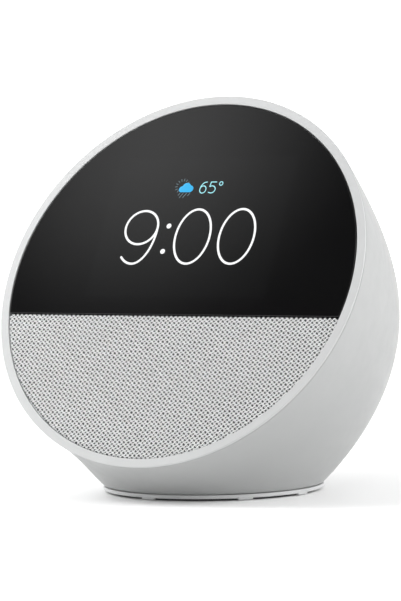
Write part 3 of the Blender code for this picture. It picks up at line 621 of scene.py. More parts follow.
def yarn_finish(name, light, dark, turn):
    """Spun polyester: fibres along the yarn, a shade that changes from yarn to yarn, and sheen."""
    made = Finish(name, 0.82, Sheen_Weight=0.25, Sheen_Roughness=0.5, Specular_IOR_Level=0.2)
    made.place = made.texture("Mapping", made.in_face(), Rotation=(0.0, 0.0, -turn)).outputs[0]
    fibres = made.noise(1.0, 3.0, (900.0, 9000.0, 9000.0))
    bands = made.noise(1.0, 2.0, (90.0, 900.0, 90.0))
    tone = made.math("ADD", made.math("MULTIPLY", fibres, 0.45), made.math("MULTIPLY", bands, 0.55))
    made.colour(made.mix(made.spread(tone, 0.0, 1.0, 0.35, 0.65), dark, light))
    made.bump(fibres, 3e-5, 0.6)
    return made.material


WEAVE_PITCH = 0.944 * MM
WEAVE_TURN = radians(40.8)
YARN_WARP = yarn_finish("yarn_warp", (0.87, 0.875, 0.875), (0.79, 0.795, 0.795), WEAVE_TURN)
YARN_WEFT = yarn_finish("yarn_weft", (0.92, 0.925, 0.925), (0.85, 0.855, 0.855), -WEAVE_TURN)
BACKING = moulded("cloth_backing", (0.07, 0.07, 0.073), (0.045, 0.045, 0.048), 0.9, 2400.0, 0.0001)

# ---- camera, floor and light

CAMERA_AZIMUTH = radians(30.99)
CAMERA_DISTANCE = 0.8368
CAMERA_HEIGHT = 0.0925
CAMERA_YAW = radians(0.412)
CAMERA_PITCH = radians(-2.654)
CAMERA_ROLL = radians(-1.042)
CAMERA_LENS = 182.4
CLIP_RANGE = (0.01, 50.0)
FLOOR_SIZE = 12.0
FLOOR_DROP = 0.0001
# the floor's own light: strength near and far, and the distances it grows between
FLOOR_GLOW = (0.03, 0.62, 0.35, 1.6)
WORLD_BRIGHT_WAY = (-0.5, 0.86, 0.1)
WORLD_GLOWS = ((0.1, 0.92, 0.5875, 1.075), (0.93, 0.975, 0.0, 0.275))
LIGHT_TARGET = (0.0, 0.0, 0.05)
LIGHTS = (
    ("key", (-0.36, -0.24, 0.38), 0.28, 1.94),
    ("right_fill", (0.9, 0.25, 0.55), 0.7, 7.75),
    ("left_fill", (-0.8, 0.0, 0.5), 0.5, 1.25),
)
CARD_DISTANCE = 0.6
CARD_SIZE = 0.9
CARD_GLOW_CENTRE = (-0.024, 0.036, 0.0)
CARD_GLOW_RADIUS = 0.126
CARD_FADE = (0.07, 1.15)


def make_camera():
    data = bpy.data.cameras.new("camera")
    data.lens = CAMERA_LENS
    data.clip_start, data.clip_end = CLIP_RANGE
    camera = add_object("camera", data)
    heading = -CAMERA_AZIMUTH + CAMERA_YAW
    ahead = Vector((sin(heading) * cos(CAMERA_PITCH),
                    cos(heading) * cos(CAMERA_PITCH), sin(CAMERA_PITCH)))
    level = Vector((cos(heading), -sin(heading), 0.0))
    upright = level.cross(ahead)
    right = level * cos(CAMERA_ROLL) + upright * sin(CAMERA_ROLL)
    up = upright * cos(CAMERA_ROLL) - level * sin(CAMERA_ROLL)
    place = (CAMERA_DISTANCE * sin(CAMERA_AZIMUTH),
             FACE_CENTRE[1] - CAMERA_DISTANCE * cos(CAMERA_AZIMUTH), CAMERA_HEIGHT)
    camera.matrix_world = axes_frame(right, up, -ahead, place)
    bpy.context.scene.camera = camera


def make_light(name, place, size, power):
    """An area light that faces the object. The glass doesn't mirror the key light."""
    data = bpy.data.lights.new(name, "AREA")
    data.size = size
    data.energy = power
    light = add_object(name, data)
    ahead = (Vector(LIGHT_TARGET) - Vector(place)).normalized()
    side = ahead.cross(Vector(ALONG_Z)).normalized()
    light.matrix_world = axes_frame(side, side.cross(ahead), -ahead, place)
    light.visible_glossy = name != "key"


def flat_grid(name, segments, size, material, place=None):
    build = bmesh.new()
    bmesh.ops.create_grid(build, x_segments=segments, y_segments=segments, size=size)
    return add_piece(name, build, material, place)


def make_floor():
    """A pale floor, with a light of its own that grows away from the object."""
    made = Finish("floor", 0.6, Specular_IOR_Level=0.1)
    tone = made.mix(made.noise(3.0), (0.93, 0.93, 0.93), (0.95, 0.95, 0.95))
    made.colour(tone)
    made.link(tone, made.shader.inputs["Emission Color"])
    reach = made.node("VectorMath", operation="LENGTH")
    made.link(made.place, reach.inputs[0])
    made.link(made.spread(reach.outputs["Value"], *FLOOR_GLOW), made.shader.inputs["Emission Strength"])
    ground = flat_grid("floor", 24, FLOOR_SIZE, made.material, Matrix.Translation((0.0, 0.0, -FLOOR_DROP)))


def make_world():
    """A white world that is brightest behind the object."""
    world = bpy.data.worlds.new("studio")
    world.use_nodes = True
    made = Nodes(world.node_tree)
    background = made.tree.nodes["Background"]
    put(background, Color=(1.0, 1.0, 1.0, 1.0))
    toward = made.node("VectorMath", operation="DOT_PRODUCT")
    toward.inputs[1].default_value = WORLD_BRIGHT_WAY
    made.link(made.node("TexCoord").outputs["Generated"], toward.inputs[0])
    total = made.node("Math", operation="ADD")
    for (start, end, low, high), target in zip(WORLD_GLOWS, total.inputs):
        glow = made.spread(toward.outputs["Value"], low, high, start, end, interpolation_type="SMOOTHSTEP")
        made.link(glow, target)
    made.link(total.outputs[0], background.inputs["Strength"])
    bpy.context.scene.world = world


def make_card():
    """A graded card that stands where the glass mirrors it at the photo's angle."""
    card = Finish("card")
    card.tree.nodes.remove(card.shader)
    glow = card.node("Emission")
    middle = tuple(-c / CARD_GLOW_RADIUS for c in CARD_GLOW_CENTRE)
    around = card.texture("Mapping", Location=middle, Scale=(1 / CARD_GLOW_RADIUS,) * 3)
    gradient = card.texture("TexGradient", around.outputs[0], {"gradient_type": "SPHERICAL"})
    fade = card.spread(gradient.outputs["Fac"], *CARD_FADE, 0.0, 1.0,
                       interpolation_type="SMOOTHSTEP")
    card.link(fade, glow.inputs["Strength"])
    card.link(glow.outputs[0], card.output.inputs[0])
    piece = flat_grid("graded_card", 8, CARD_SIZE / 2, card.material)
    view = Vector((-sin(CAMERA_AZIMUTH), cos(CAMERA_AZIMUTH), 0.0))
    out = Vector(FACE_OUT)
    mirrored = view - out * (2 * view.dot(out))
    spot = Vector(FACE_CENTRE) + Vector(FACE_UP) * SCREEN_V + mirrored * CARD_DISTANCE
    piece.matrix_world = axes_frame(ALONG_X, FACE_UP, FACE_OUT, spot)
    for ray in ("camera", "diffuse", "shadow", "transmission", "volume_scatter"):
        setattr(piece, "visible_" + ray, False)


bpy.context.scene.view_settings.view_transform = "Standard"
make_camera()
make_floor()
make_world()
for light_values in LIGHTS:
    make_light(*light_values)
make_card()

# ---- housing

SHELL_AROUND = 224
SHELL_ALONG = 84
SHELL_INSIDE = 14
SHELL_EDGE = 0.28 * MM
CAP_SEAT_RADIUS = 30.2 * MM
# holes in millimetres: radius, depth, the dome's bulge over the hole, soft edge
BUTTON_HOLE = ((BUTTON_RADIUS + GAP) / MM, 6.0, 0.22, 0.35)
MIC_HOLE = (0.6, 4.0, 0.0, 0.2)
INLET_HOLE = (INLET_RADIUS / MM, 8.0, 0.28, 0.4)
HOLE_RIM = 0.6
HOLE_TOP = 3.0
NORMAL_REACH = 0.05 * MM
NORMAL_TOLERANCE = 0.004 * MM
NORMAL_FACING = 0.93


def along_at_floor(angle):
    """Where the inner surface meets the top of the base flange, for an array of angles."""
    low, high = np.full_like(angle, 0.3), np.ones_like(angle)
    for _ in range(30):
        middle = (low + high) / 2
        above = inner_points(angle, middle)[:, 2] > FLANGE_TOP
        low, high = np.where(above, middle, low), np.where(above, high, middle)
    return low


def hole_cutter(name, place, radius, depth, bulge, edge):
    """A round hole's cutter that flares at the surface, so that the hole gets a soft edge."""
    wide = radius + edge
    corners = [(0, -depth, 0), (radius, -depth, 0), (radius, -bulge - edge, 0)]
    for angle in QUARTER[1:]:
        corners.append((wide - edge * cos(angle), -bulge - edge + edge * sin(angle), 0))
    corners += [(wide + HOLE_RIM, -bulge + 0.02, 0), (wide + HOLE_RIM, HOLE_TOP, 0), (0, HOLE_TOP, 0)]
    return turned(name, corners, 64, None, place)


def restore_normals(mesh, outer, faces, normals):
    """Gives the corners that lie on the dome its exact normals, which the booleans lost."""
    tree = BVHTree.FromPolygons([Vector(p) for p in outer], faces)
    corner_normals = np.zeros((len(mesh.loops), 3), np.float32)
    mesh.corner_normals.foreach_get("vector", corner_normals.ravel())
    smooth = {}
    for vertex in mesh.vertices:
        _, _, face, distance = tree.find_nearest(vertex.co, NORMAL_REACH)
        if face is None or distance > NORMAL_TOLERANCE:
            continue
        ids = list(faces[face])
        gaps = np.array([np.linalg.norm(outer[i] - np.array(vertex.co)) + 1e-7 for i in ids])
        smooth[vertex.index] = unit((normals[ids] / gaps[:, None] ** 2).sum(axis=0))
    for face in mesh.polygons:
        facing = np.array(face.normal)
        for loop in face.loop_indices:
            normal = smooth.get(mesh.loops[loop].vertex_index)
            if normal is not None and facing @ normal > NORMAL_FACING:
                corner_normals[loop] = normal
    mesh.normals_split_custom_set([Vector(n) for n in corner_normals.tolist()])


def make_shell():
    angles = np.arange(SHELL_AROUND) * tau / SHELL_AROUND
    span = np.linalg.norm(dome_points(angles, 1e-3) - dome_points(angles, 0.0), axis=1) / 1e-3
    rings = []
    for turn in QUARTER[:-1]:
        along = SHELL_EDGE * (1 - cos(turn)) / span
        inset = SHELL_EDGE * (1 - sin(turn))
        rings.append(dome_points(angles, along) - dome_normals(angles, along) * inset)
    first = SHELL_EDGE / span
    for j in range(SHELL_ALONG + 1):
        rings.append(dome_points(angles, first + (1 - first) * j / SHELL_ALONG))
    outer = np.concatenate(rings[ROUND_STEPS:])
    level = np.stack([np.cos(angles), np.sin(angles), np.zeros_like(angles)], axis=1)
    for radius, z in ((CAP_SEAT_RADIUS, BASE_EDGE_Z), (CAP_SEAT_RADIUS, CAP_TOP + GAP),
                      (FLANGE_RADIUS, CAP_TOP + GAP), (FLANGE_RADIUS, FLANGE_TOP)):
        rings.append(BASE_CENTRE + level * radius + ALONG_Z * z)
    floors = along_at_floor(angles)
    for j in range(SHELL_INSIDE, -1, -1):
        rings.append(inner_points(angles, floors * j / SHELL_INSIDE))
    build = bmesh.new()
    bridge(build, [[build.verts.new(p) for p in ring] for ring in rings], True)
    shell = add_piece("housing_shell", build, SHADED_SHELL_WHITE, None)

    tools = [hole_cutter("hole_" + name, place, *BUTTON_HOLE) for name, place in BUTTONS.items()]
    tools += [hole_cutter(f"hole_mic_{i}", place, *MIC_HOLE) for i, place in enumerate(MICS)]
    tools.append(hole_cutter("hole_inlet", INLET, *INLET_HOLE))
    tools.append(pins("flange_holes", SCREW_HOLE, CAP_TOP, FLANGE_TOP + MM, BASE_SCREWS, 20, BASE))
    mesh = combine(shell, tools, "DIFFERENCE")

    rows = SHELL_ALONG + 1
    index = np.arange(rows * SHELL_AROUND).reshape(rows, SHELL_AROUND)
    beside = np.roll(index, -1, axis=1)
    faces = np.stack([index[:-1], beside[:-1], beside[1:], index[1:]], axis=-1).reshape(-1, 4).tolist()
    shares = first + (1 - first) * (np.arange(rows)[:, None] / SHELL_ALONG)
    restore_normals(mesh, outer, faces, dome_normals(angles[None, :], shares).reshape(-1, 3))
    stand_in(shell, "rear_shell")


RING_BOSS_RADIUS = 3.0 * MM
RING_PROFILE = (
    (54.0, -2.2, 0), (54.0, 0.0, 0.18), (56.5, 0.0, 0.4), (56.5, -0.5, 0.08), (54.7, -0.5, 0.05),
    (54.6, -1.2, 0.1), (53.7, -3.6, 0.1), (51.0, -3.6, 0.1), (51.0, -2.2, 0.05),
)


def make_ring():
    ring = turned("bezel_ring_fine", RING_PROFILE, 256, RING_WHITE, FACE, 6)
    bosses = pins("bosses", RING_BOSS_RADIUS, -7.8 * MM, -2.5 * MM, RING_BOSSES, 32, FACE)
    combine(ring, [bosses], "UNION")
    bores = pins("bores", SCREW_HOLE, -9.0 * MM, -3.4 * MM, RING_BOSSES, 24, FACE)
    combine(ring, [bores], "DIFFERENCE")
    flatten_normals(ring)
    stand_in(ring, "bezel_ring")


# in millimetres
LIP_TOP = 1.6
CAP_RADIUS = 29.9
TAB_INNER, TAB_OUTER, TAB_HALF = 29.8, 30.9, 2.1
TAB_CORNER = 0.35
PAD_GROOVES = (9.0, 18.0, 25.5)
GROOVE = ((0.0, 0), (0.3, 0.3), (1.0, 0.3), (1.3, 0))


def make_base():
    recess = (PAD_THICKNESS + GAP) / MM
    inner = (PAD_RADIUS + GAP) / MM
    lip, lip_bottom, cap_top = LIP_RADIUS / MM, LIP_BOTTOM / MM, CAP_TOP / MM
    cap = turned("base_cap_fine", [
        (0, recess, 0), (inner, recess, 0.15), (inner, lip_bottom, 0.15), (lip, lip_bottom, 0.25),
        (lip, LIP_TOP, 0.25), (CAP_RADIUS, LIP_TOP, 0.1), (CAP_RADIUS, cap_top, 0.2), (0, cap_top, 0),
    ], 192, RING_WHITE, BASE)
    build = bmesh.new()
    for degrees in TAB_ANGLES:
        layers = []
        for inset, z in ((0.12, 0.1), (0.0, 0.22), (0.0, 0.9)):
            low, high, half = TAB_INNER + inset, TAB_OUTER - inset, TAB_HALF - inset
            corners = [(low, -half), (high, -half), (high, half), (low, half)]
            layers.append((soften([(x * MM, y * MM, TAB_CORNER * MM) for x, y in corners], 4), z * MM))
        before = len(build.verts)
        plate_layers(build, layers)
        build.verts.ensure_lookup_table()
        turn = Matrix.Rotation(radians(degrees), 4, "Z")
        bmesh.ops.transform(build, matrix=turn, verts=build.verts[before:])
    combine(cap, [add_piece("tabs", build, None, BASE)], "UNION")
    pockets = pins("pockets", 2.4 * MM, 0.5 * MM, 2.0 * MM, BASE_SCREWS, 28, BASE)
    holes = pins("holes", SCREW_HOLE, 1.5 * MM, 3.5 * MM, BASE_SCREWS, 20, BASE)
    combine(cap, [pockets, holes], "DIFFERENCE")
    flatten_normals(cap)
    stand_in(cap, "base_cap")

    pad_radius, pad_top = PAD_RADIUS / MM, PAD_THICKNESS / MM
    profile = [(0, 0, 0)]
    for radius in PAD_GROOVES:
        profile += [(radius + step, depth, 0.1) for step, depth in GROOVE]
    profile += [(pad_radius, 0, 0.2), (pad_radius, pad_top, 0.2), (0, pad_top, 0)]
    pad = turned("foot_pad_fine", profile, 160, RUBBER, BASE, 3)
    stand_in(pad, "foot_pad")


# ---- the glass and what it shows

GLASS_EDGE = 0.25 * MM
GLASS_TOP = -0.05 * MM
GLASS_THICKNESS = 1.8 * MM
GLASS_RADIUS = RING_INNER_RADIUS - GAP
GLASS_CHORD = FACE_PARTING + 0.15 * MM
GLASS_CORNER = 0.6 * MM


def make_glass():
    low = GLASS_TOP - GLASS_THICKNESS
    shape = [(GLASS_EDGE * (1 - sin(angle)), low + GLASS_EDGE * (1 - cos(angle)))
             for angle in QUARTER]
    shape += [(inset, GLASS_TOP + low - z) for inset, z in reversed(shape)]
    layers = [(disc_segment(GLASS_RADIUS - inset, GLASS_CHORD + inset, True, GLASS_CORNER,
                            180), z) for inset, z in shape]
    glass = plate("cover_glass_fine", layers, GLASS, FACE)
    flatten_normals(glass)
    stand_in(glass, "cover_glass")


def show(name, build, material):
    """A lit piece on the glass."""
    piece = add_piece(name, build, material, FACE)
    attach(piece, "housing")


LIT_LOW = GLASS_TOP + 0.001 * MM
LIT_TOP = GLASS_TOP + 0.02 * MM
DIGIT_STROKE = 0.66 * MM
DIGIT_V = 12.5 * MM
ZERO_REACH = (5.5 * MM, 8.35 * MM)
ZERO_CENTRES = (1.27 * MM, 15.33 * MM)
NINE_CENTRE = (-15.9 * MM, 15.3 * MM)
NINE_REACH = (5.2 * MM, 5.17 * MM)
TAIL_CENTRE = (-16.3 * MM, 14.6 * MM)
TAIL_REACH = (5.63 * MM, 10.5 * MM)
TAIL_LEFT = 6.6 * MM
TAIL_START, TAIL_SWEEP = 8, 134
COLON_U, COLON_VS = -7.15 * MM, (15.75 * MM, 7.9 * MM)
COLON_RADIUS, COLON_TOP_RADIUS = 0.76 * MM, 0.7 * MM
SMALL_STROKE = 0.29 * MM
DEGREE_STROKE = 0.26 * MM
# the rise of a stroke that crosses another
OVER = 0.004 * MM
# points of the temperature's strokes, in millimetres
SIX = ((1.75, 29.35), (1.1, 29.25), (0.45, 28.75), (0.02, 27.95), (-0.12, 27.1))
SIX_BOWL = (0.86 * MM, 27.05 * MM), (0.98 * MM, 1.12 * MM)
FIVE_FLAG = ((4.75, 29.35), (3.9, 29.35), (3.05, 29.35))
FIVE = ((3.05, 29.35), (2.98, 28.6), (2.92, 27.95), (3.5, 28.15), (4.2, 28.0), (4.72, 27.5), (4.78, 26.8),
        (4.35, 26.15), (3.6, 25.95), (2.85, 26.15))
DEGREE = (6.33 * MM, 28.85 * MM), (0.52 * MM, 0.56 * MM)


def lit_stroke(build, path, width, closed=False, over=0.0):
    stroke(build, path, width, LIT_LOW, LIT_TOP + over, closed)


def make_clock():
    build = bmesh.new()
    for centre in ZERO_CENTRES:
        lit_stroke(build, ellipse_path((centre, DIGIT_V), ZERO_REACH, steps=96), DIGIT_STROKE, True)
    lit_stroke(build, ellipse_path(NINE_CENTRE, NINE_REACH), DIGIT_STROKE, True)
    tail = []
    for i in range(49):
        angle = radians(TAIL_START - TAIL_SWEEP * i / 48)
        reach = TAIL_REACH[0] if cos(angle) > 0 else TAIL_LEFT
        tail.append((TAIL_CENTRE[0] + reach * cos(angle),
                     TAIL_CENTRE[1] + TAIL_REACH[1] * sin(angle)))
    lit_stroke(build, tail, DIGIT_STROKE, over=OVER)
    show("clock_digits", build, LIT_WHITE)

    build = bmesh.new()
    dot = (0.0, LIT_LOW), (COLON_RADIUS, LIT_LOW), (COLON_TOP_RADIUS, LIT_TOP), (0.0, LIT_TOP)
    for v in COLON_VS:
        turned_mesh(build, dot, 40, (COLON_U, v))
    show("clock_colon", build, LIT_WHITE)

    build = bmesh.new()
    lit_stroke(build, smooth_path(SIX), SMALL_STROKE)
    lit_stroke(build, ellipse_path(*SIX_BOWL, steps=40), SMALL_STROKE, True, OVER)
    lit_stroke(build, smooth_path(FIVE_FLAG, 8), SMALL_STROKE)
    lit_stroke(build, smooth_path(FIVE), SMALL_STROKE, over=OVER)
    lit_stroke(build, ellipse_path(*DEGREE, steps=32), DEGREE_STROKE, True)
    show("temperature", build, LIT_CYAN)


def smooth_path(points, steps=6):
    """A Catmull-Rom curve through points given in millimetres."""
    spots = [Vector(p) * MM for p in points]
    spots = [spots[0] * 2 - spots[1]] + spots + [spots[-1] * 2 - spots[-2]]
    path = []
    for a, b, c, d in zip(spots, spots[1:], spots[2:], spots[3:]):
        for step in range(steps):
            t = step / steps
            spot = (b * 2 + (c - a) * t + (a * 2 - b * 5 + c * 4 - d) * t * t
                    + (b * 3 - a - c * 3 + d) * t ** 3) / 2
            path.append((spot.x, spot.y))
    path.append((spots[-2].x, spots[-2].y))
    return path


CLOUD_CENTRE = Vector((-4.6 * MM, 27.35 * MM))
# round lumps as (x, y, radius) from the cloud's centre, in millimetres
CLOUD_LUMPS = ((-1.35, -0.15, 0.95), (0.0, 0.45, 1.38), (1.25, -0.05, 1.05), (-0.5, -0.4, 0.72),
               (0.6, -0.4, 0.72), (-1.1, -0.55, 0.52), (1.1, -0.55, 0.55), (0.0, -0.6, 0.52))
CLOUD_TOP_SHARE = 0.97
SUN_CENTRE = (-6.0 * MM, 28.15 * MM)
RAY_STROKE = 0.14 * MM
RAY_RADII = (1.6, 1.95, 2.3)
RAIN_TOP = 26.0
RAIN_SLANT = 0.65
RAIN = ((-6.25, 0.75), (-5.2, 1.45), (-4.1, 1.45), (-3.05, 0.85))


def make_weather():
    """A cloud with a sun behind it and rain below, as simple shapes."""
    outline = []
    for way in ellipse_path((0.0, 0.0), (1.0, 1.0), steps=96):
        way = Vector(way)
        reach = 0.0
        for x, y, radius in CLOUD_LUMPS:
            spot = Vector((x, y)) * MM
            near = way.dot(spot)
            inside = (radius * MM) ** 2 - (spot.length_squared - near ** 2)
            if inside > 0:
                reach = max(reach, near + sqrt(inside))
        outline.append(CLOUD_CENTRE + way * reach)
    top = [CLOUD_CENTRE.lerp(p, CLOUD_TOP_SHARE) for p in outline]
    build = bmesh.new()
    plate_layers(build, [(outline, LIT_LOW), (top, LIT_TOP)])
    show("weather_cloud", build, LIT_BLUE)

    build = bmesh.new()
    for degrees in range(35, 236, 25):
        angle = radians(degrees)
        path = [(SUN_CENTRE[0] + r * MM * cos(angle), SUN_CENTRE[1] + r * MM * sin(angle))
                for r in RAY_RADII]
        lit_stroke(build, path, RAY_STROKE)
    for x, reach in RAIN:
        path = [((x - RAIN_SLANT * s * reach) * MM, (RAIN_TOP - s * reach) * MM) for s in (0.0, 0.5, 1.0)]
        lit_stroke(build, path, RAY_STROKE)
    show("weather_rays", build, LIT_DIM)


# ---- the woven grille

CLOTH_CHORD = FACE_PARTING - 0.17 * MM
CLOTH_CORNER = 0.8 * MM
YARN_TOP = -0.1 * MM
YARN_THICKNESS = 0.20 * MM
YARN_WAVE = 0.18 * MM
YARN_CENTRE = YARN_TOP - YARN_WAVE - YARN_THICKNESS / 2
CLOTH_RADIUS = RING_INNER_RADIUS - 0.17 * MM
CORNER_CENTRE = (sqrt((CLOTH_RADIUS - CLOTH_CORNER) ** 2 - (CLOTH_CHORD - CLOTH_CORNER) ** 2),
                 CLOTH_CHORD - CLOTH_CORNER)
SEARCH_REACH = 0.12
SEARCH_STEP = 0.25 * MM
CROSSING_PITCH = WEAVE_PITCH / sin(2 * WEAVE_TURN)
YARN_ROWS = 80
YARN_DRIFT = 0.018 * MM
YARN_UNEVENNESS = 0.04
YARN_SQUEEZE = 0.10
YARN_END_GAP = 0.1 * MM
YARN_TUCK = 0.10 * MM
YARN_TUCK_REACH = 0.3 * MM
YARN_SWAY = 0.015 * MM
SWAY_RATE, SWAY_SHIFT = 2600, 1.7
# name, turn, offset, width, phase, finish, stations to a crossing and sides
YARNS = (
    ("grille_warp", WEAVE_TURN, 0.0, 0.36 * MM, 0.0, YARN_WARP, 6, 6),
    ("grille_weft_left", -WEAVE_TURN, -0.135 * MM, 0.19 * MM, 1.0, YARN_WEFT, 4, 5),
    ("grille_weft_right", -WEAVE_TURN, 0.135 * MM, 0.19 * MM, 1.0, YARN_WEFT, 4, 5),
)
BACKING_LOW, BACKING_TOP = -0.76 * MM, -0.70 * MM


def line_in_cloth(point, way):
    """Where a straight line in the face's plane enters and leaves the cloth, as distances."""
    def inside(t):
        x, y = point[0] + way[0] * t, point[1] + way[1] * t
        if y > CLOTH_CHORD or x * x + y * y > CLOTH_RADIUS ** 2:
            return False
        past_x, past_y = abs(x) - CORNER_CENTRE[0], y - CORNER_CENTRE[1]
        return past_x <= 0 or past_y <= 0 or hypot(past_x, past_y) < CLOTH_CORNER

    kept = [t for t in np.arange(-SEARCH_REACH, SEARCH_REACH, SEARCH_STEP) if inside(t)]
    if len(kept) < 4:
        return None
    ends = []
    for low, high in ((kept[0], kept[0] - SEARCH_STEP), (kept[-1], kept[-1] + SEARCH_STEP)):
        for _ in range(12):
            middle = (low + high) / 2
            low, high = (middle, high) if inside(middle) else (low, middle)
        ends.append(low)
    return ends


def make_yarns(name, turn, offset, width, phase, material, stations, sides):
    """Parallel yarns that go over and under the crossing ones, cut to the cloth's outline."""
    way = (cos(turn), sin(turn))
    side = (-sin(turn), cos(turn))
    slant = 1 if turn > 0 else -1
    ring = [(cos(tau * k / sides + pi / 2), sin(tau * k / sides + pi / 2))
            for k in range(sides)]
    points, faces = [], []
    rng = np.random.default_rng(7 if turn > 0 else 11)
    for row in range(-YARN_ROWS, YARN_ROWS + 1):
        drift = rng.normal(0.0, YARN_DRIFT)
        thick = 1.0 + rng.normal(0.0, YARN_UNEVENNESS)
        across = row * WEAVE_PITCH + offset + drift
        ends = line_in_cloth((side[0] * across, side[1] * across), way)
        if ends is None:
            continue
        step = CROSSING_PITCH / stations
        first, last = ceil((ends[0] + YARN_END_GAP) / step), floor((ends[1] - YARN_END_GAP) / step)
        t = np.concatenate([[ends[0]], np.arange(first, last + 1) * step, [ends[1]]])
        shift = row * WEAVE_PITCH / tan(2 * WEAVE_TURN) * slant
        wave = np.cos(pi * ((t - shift) / CROSSING_PITCH + row + phase))
        height = YARN_CENTRE + YARN_WAVE * wave
        edge = np.minimum(t - ends[0], ends[1] - t)
        height -= YARN_TUCK * np.exp(-(edge / YARN_TUCK_REACH) ** 2)
        sway = YARN_SWAY * np.sin(t * SWAY_RATE + row * SWAY_SHIFT)
        half = width / 2 * thick * (1 - YARN_SQUEEZE * wave)
        base = len(points)
        for along, z, half_here, sway_here in zip(t, height, half, sway):
            for across_share, up_share in ring:
                reach = across + sway_here + half_here * across_share
                points.append((way[0] * along + side[0] * reach, way[1] * along + side[1] * reach,
                               z + YARN_THICKNESS / 2 * up_share))
        for start in range(base, len(points) - sides, sides):
            for k in range(sides):
                j = (k + 1) % sides
                faces.append((start + k, start + j, start + sides + j, start + sides + k))
    piece = array_piece(name, points, faces, material, FACE)
    build = bmesh.new()
    build.from_mesh(piece.data)
    bmesh.ops.holes_fill(build, edges=[e for e in build.edges if e.is_boundary], sides=sides)
    bmesh.ops.recalc_face_normals(build, faces=build.faces)
    build.to_mesh(piece.data)
    build.free()
    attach(piece, "housing")
    return piece


def make_cloth(grille):
    """The cloth: a thin backing sheet with single yarns one way and paired yarns the other."""
    outline = disc_segment(CLOTH_RADIUS, CLOTH_CHORD, False, CLOTH_CORNER, 120)
    backing = plate("grille_backing", [(outline, BACKING_LOW), (outline, BACKING_TOP)], BACKING, FACE)
    stand_in(backing, "grille_cloth")
    yarns = [make_yarns(*values) for values in YARNS]


SPEAKER_V = -29.9 * MM
SPEAKER_RADIUS = 20.5 * MM
GRILLE_PITCH = 7.2 * MM
GRILLE_HOLE = 2.7 * MM
GRILLE_MARGIN = 3.5 * MM
GRILLE_CORNER = 0.4 * MM
GRILLE_LAYERS = ((0.1 * MM, -1.9 * MM), (0.0, -1.8 * MM), (0.0, -0.9 * MM), (0.1 * MM, -0.8 * MM))


def make_grille_frame():
    """The dark perforated plate behind the cloth, with squarer corners than the cloth's."""
    layers = [(disc_segment(CLOTH_RADIUS - inset, CLOTH_CHORD - inset, False, GRILLE_CORNER, 120), z)
              for inset, z in GRILLE_LAYERS]
    grille = plate("grille_frame_fine", layers, DARK_PLASTIC, FACE)
    places = []
    for row in range(-4, 5):
        for column in range(-8, 9):
            x = (column + (row % 2) / 2) * GRILLE_PITCH
            v = SPEAKER_V + row * GRILLE_PITCH * sqrt(3) / 2
            if hypot(x, v - SPEAKER_V) < SPEAKER_RADIUS - GRILLE_MARGIN:
                places.append((x, v))
    holes = pins("grille_holes", GRILLE_HOLE, -2.5 * MM, -0.3 * MM, places, 40, FACE)
    combine(grille, [holes], "DIFFERENCE")
    stand_in(grille, "grille_frame")
    return grille


# ---- buttons and inlet

BUTTON_PROFILE = (
    (0, 0.62, 0), (3.0, 0.60, 0.5), (4.1, 0.66, 0.5), (5.0, 0.30, 0.45), (5.0, -2.9, 0.05), (5.9, -2.9, 0.1),
    (5.9, -3.7, 0.1), (1.5, -3.7, 0.1), (1.5, -5.2, 0.1), (0, -5.2, 0),
)
SYMBOL_STROKE = 0.42 * MM
SYMBOL_LOW, SYMBOL_TOP = 0.55 * MM, 0.65 * MM
THIN = 0.3 * MM
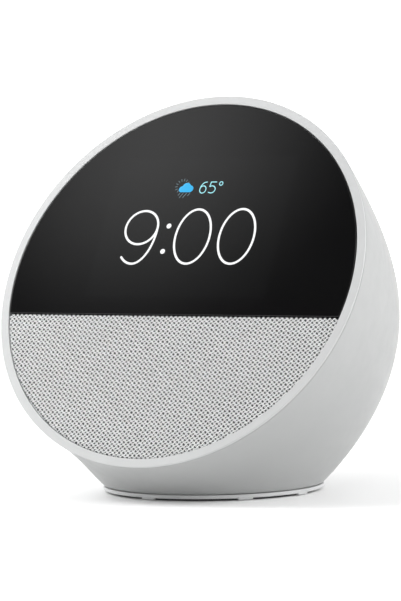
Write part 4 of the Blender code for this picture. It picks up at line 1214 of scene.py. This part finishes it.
# each stroke's path, width, rise above the others and whether it is closed
BAR = ([(-1.5 * MM, 0.0), (0.0, 0.0), (1.5 * MM, 0.0)], SYMBOL_STROKE, 0.0)
SYMBOLS = {
    "mic_off": (
        (soften([(x * MM, y * MM, 0.55 * MM) for x, y in
                 ((-0.55, 0.0), (0.55, 0.0), (0.55, 1.9), (-0.55, 1.9))], 6), THIN, 0.0, True),
        (ellipse_path((0.0, 0.45 * MM), (1.15 * MM, 1.2 * MM), pi, tau, 24, False), THIN, 0.0),
        ([(0.0, -0.75 * MM), (0.0, -1.2 * MM), (0.0, -1.6 * MM)], THIN, 0.0),
        ([(-1.7 * MM, 1.75 * MM), (0.0, 0.1 * MM), (1.7 * MM, -1.55 * MM)], 0.32 * MM, 0.01 * MM),
    ),
    "volume_up": (BAR, ([(0.0, -1.5 * MM), (0.0, 0.0), (0.0, 1.5 * MM)], SYMBOL_STROKE, 0.005 * MM)),
    "volume_down": (BAR,),
}


def make_buttons():
    for name, place in BUTTONS.items():
        button = turned(f"button_{name}_fine", BUTTON_PROFILE, 96, SHADED_SHELL_WHITE, place)
        stand_in(button, "button_" + name, name)
        build = bmesh.new()
        for path, width, over, *closed in SYMBOLS[name]:
            stroke(build, path, width, SYMBOL_LOW, SYMBOL_TOP + over, *closed)
        symbol = add_piece("symbol_" + name, build, SYMBOL_GREY, place)
        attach(symbol, name)


COLLAR_PROFILE = (
    (4.9, -0.5, 0.15), (5.2, -0.2, 0.15), (6.0, -0.2, 0.2), (6.0, -3.2, 0.1), (7.4, -3.2, 0.1),
    (7.4, -4.2, 0.1), (6.0, -4.2, 0.1), (6.0, -6.8, 0.2), (3.2, -6.8, 0.1), (3.2, -5.8, 0.15),
    (4.9, -5.8, 0.2),
)


def make_inlet():
    collar = turned("jack_collar_fine", COLLAR_PROFILE, 96, DARK_PLASTIC, INLET)
    flatten_normals(collar)
    stand_in(collar, "jack_collar")


# ---- finishes for the CAD nodes that stay

NODE_FINISHES = (
    (GREY_PLASTIC, "front_chassis display_backlight button_bracket antenna"),
    (DARK_PLASTIC, "speaker_chamber power_jack processor_chip"),
    (STEEL, "display_bracket shield_can radio_module mic_left mic_right"),
    (RUBBER, "mic_gasket_left mic_gasket_right speaker_surround jack_cable"),
    (BOARD, "main_board button_board"), (FLEX, "button_flex display_flex"),
    (ALUMINIUM, "heat_spreader"), (COPPER, "voice_coil"), (FERRITE, "speaker_magnet"),
    (PAPER, "speaker_cone"), (FOAM, "speaker_gasket"), (GLASS, "display_panel"),
    (YARN_WARP, "speaker_spider"),
)


def finish_nodes():
    finishes = {name: material for material, names in NODE_FINISHES for name in names.split()}
    for name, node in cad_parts.items():
        other = DARK_PLASTIC if name.startswith("switch") else STEEL
        node.data.materials.clear()
        node.data.materials.append(finishes.get(name, other))


make_shell()
make_ring()
make_base()
make_glass()
make_clock()
make_weather()
make_cloth(make_grille_frame())
make_buttons()
make_inlet()
finish_nodes()
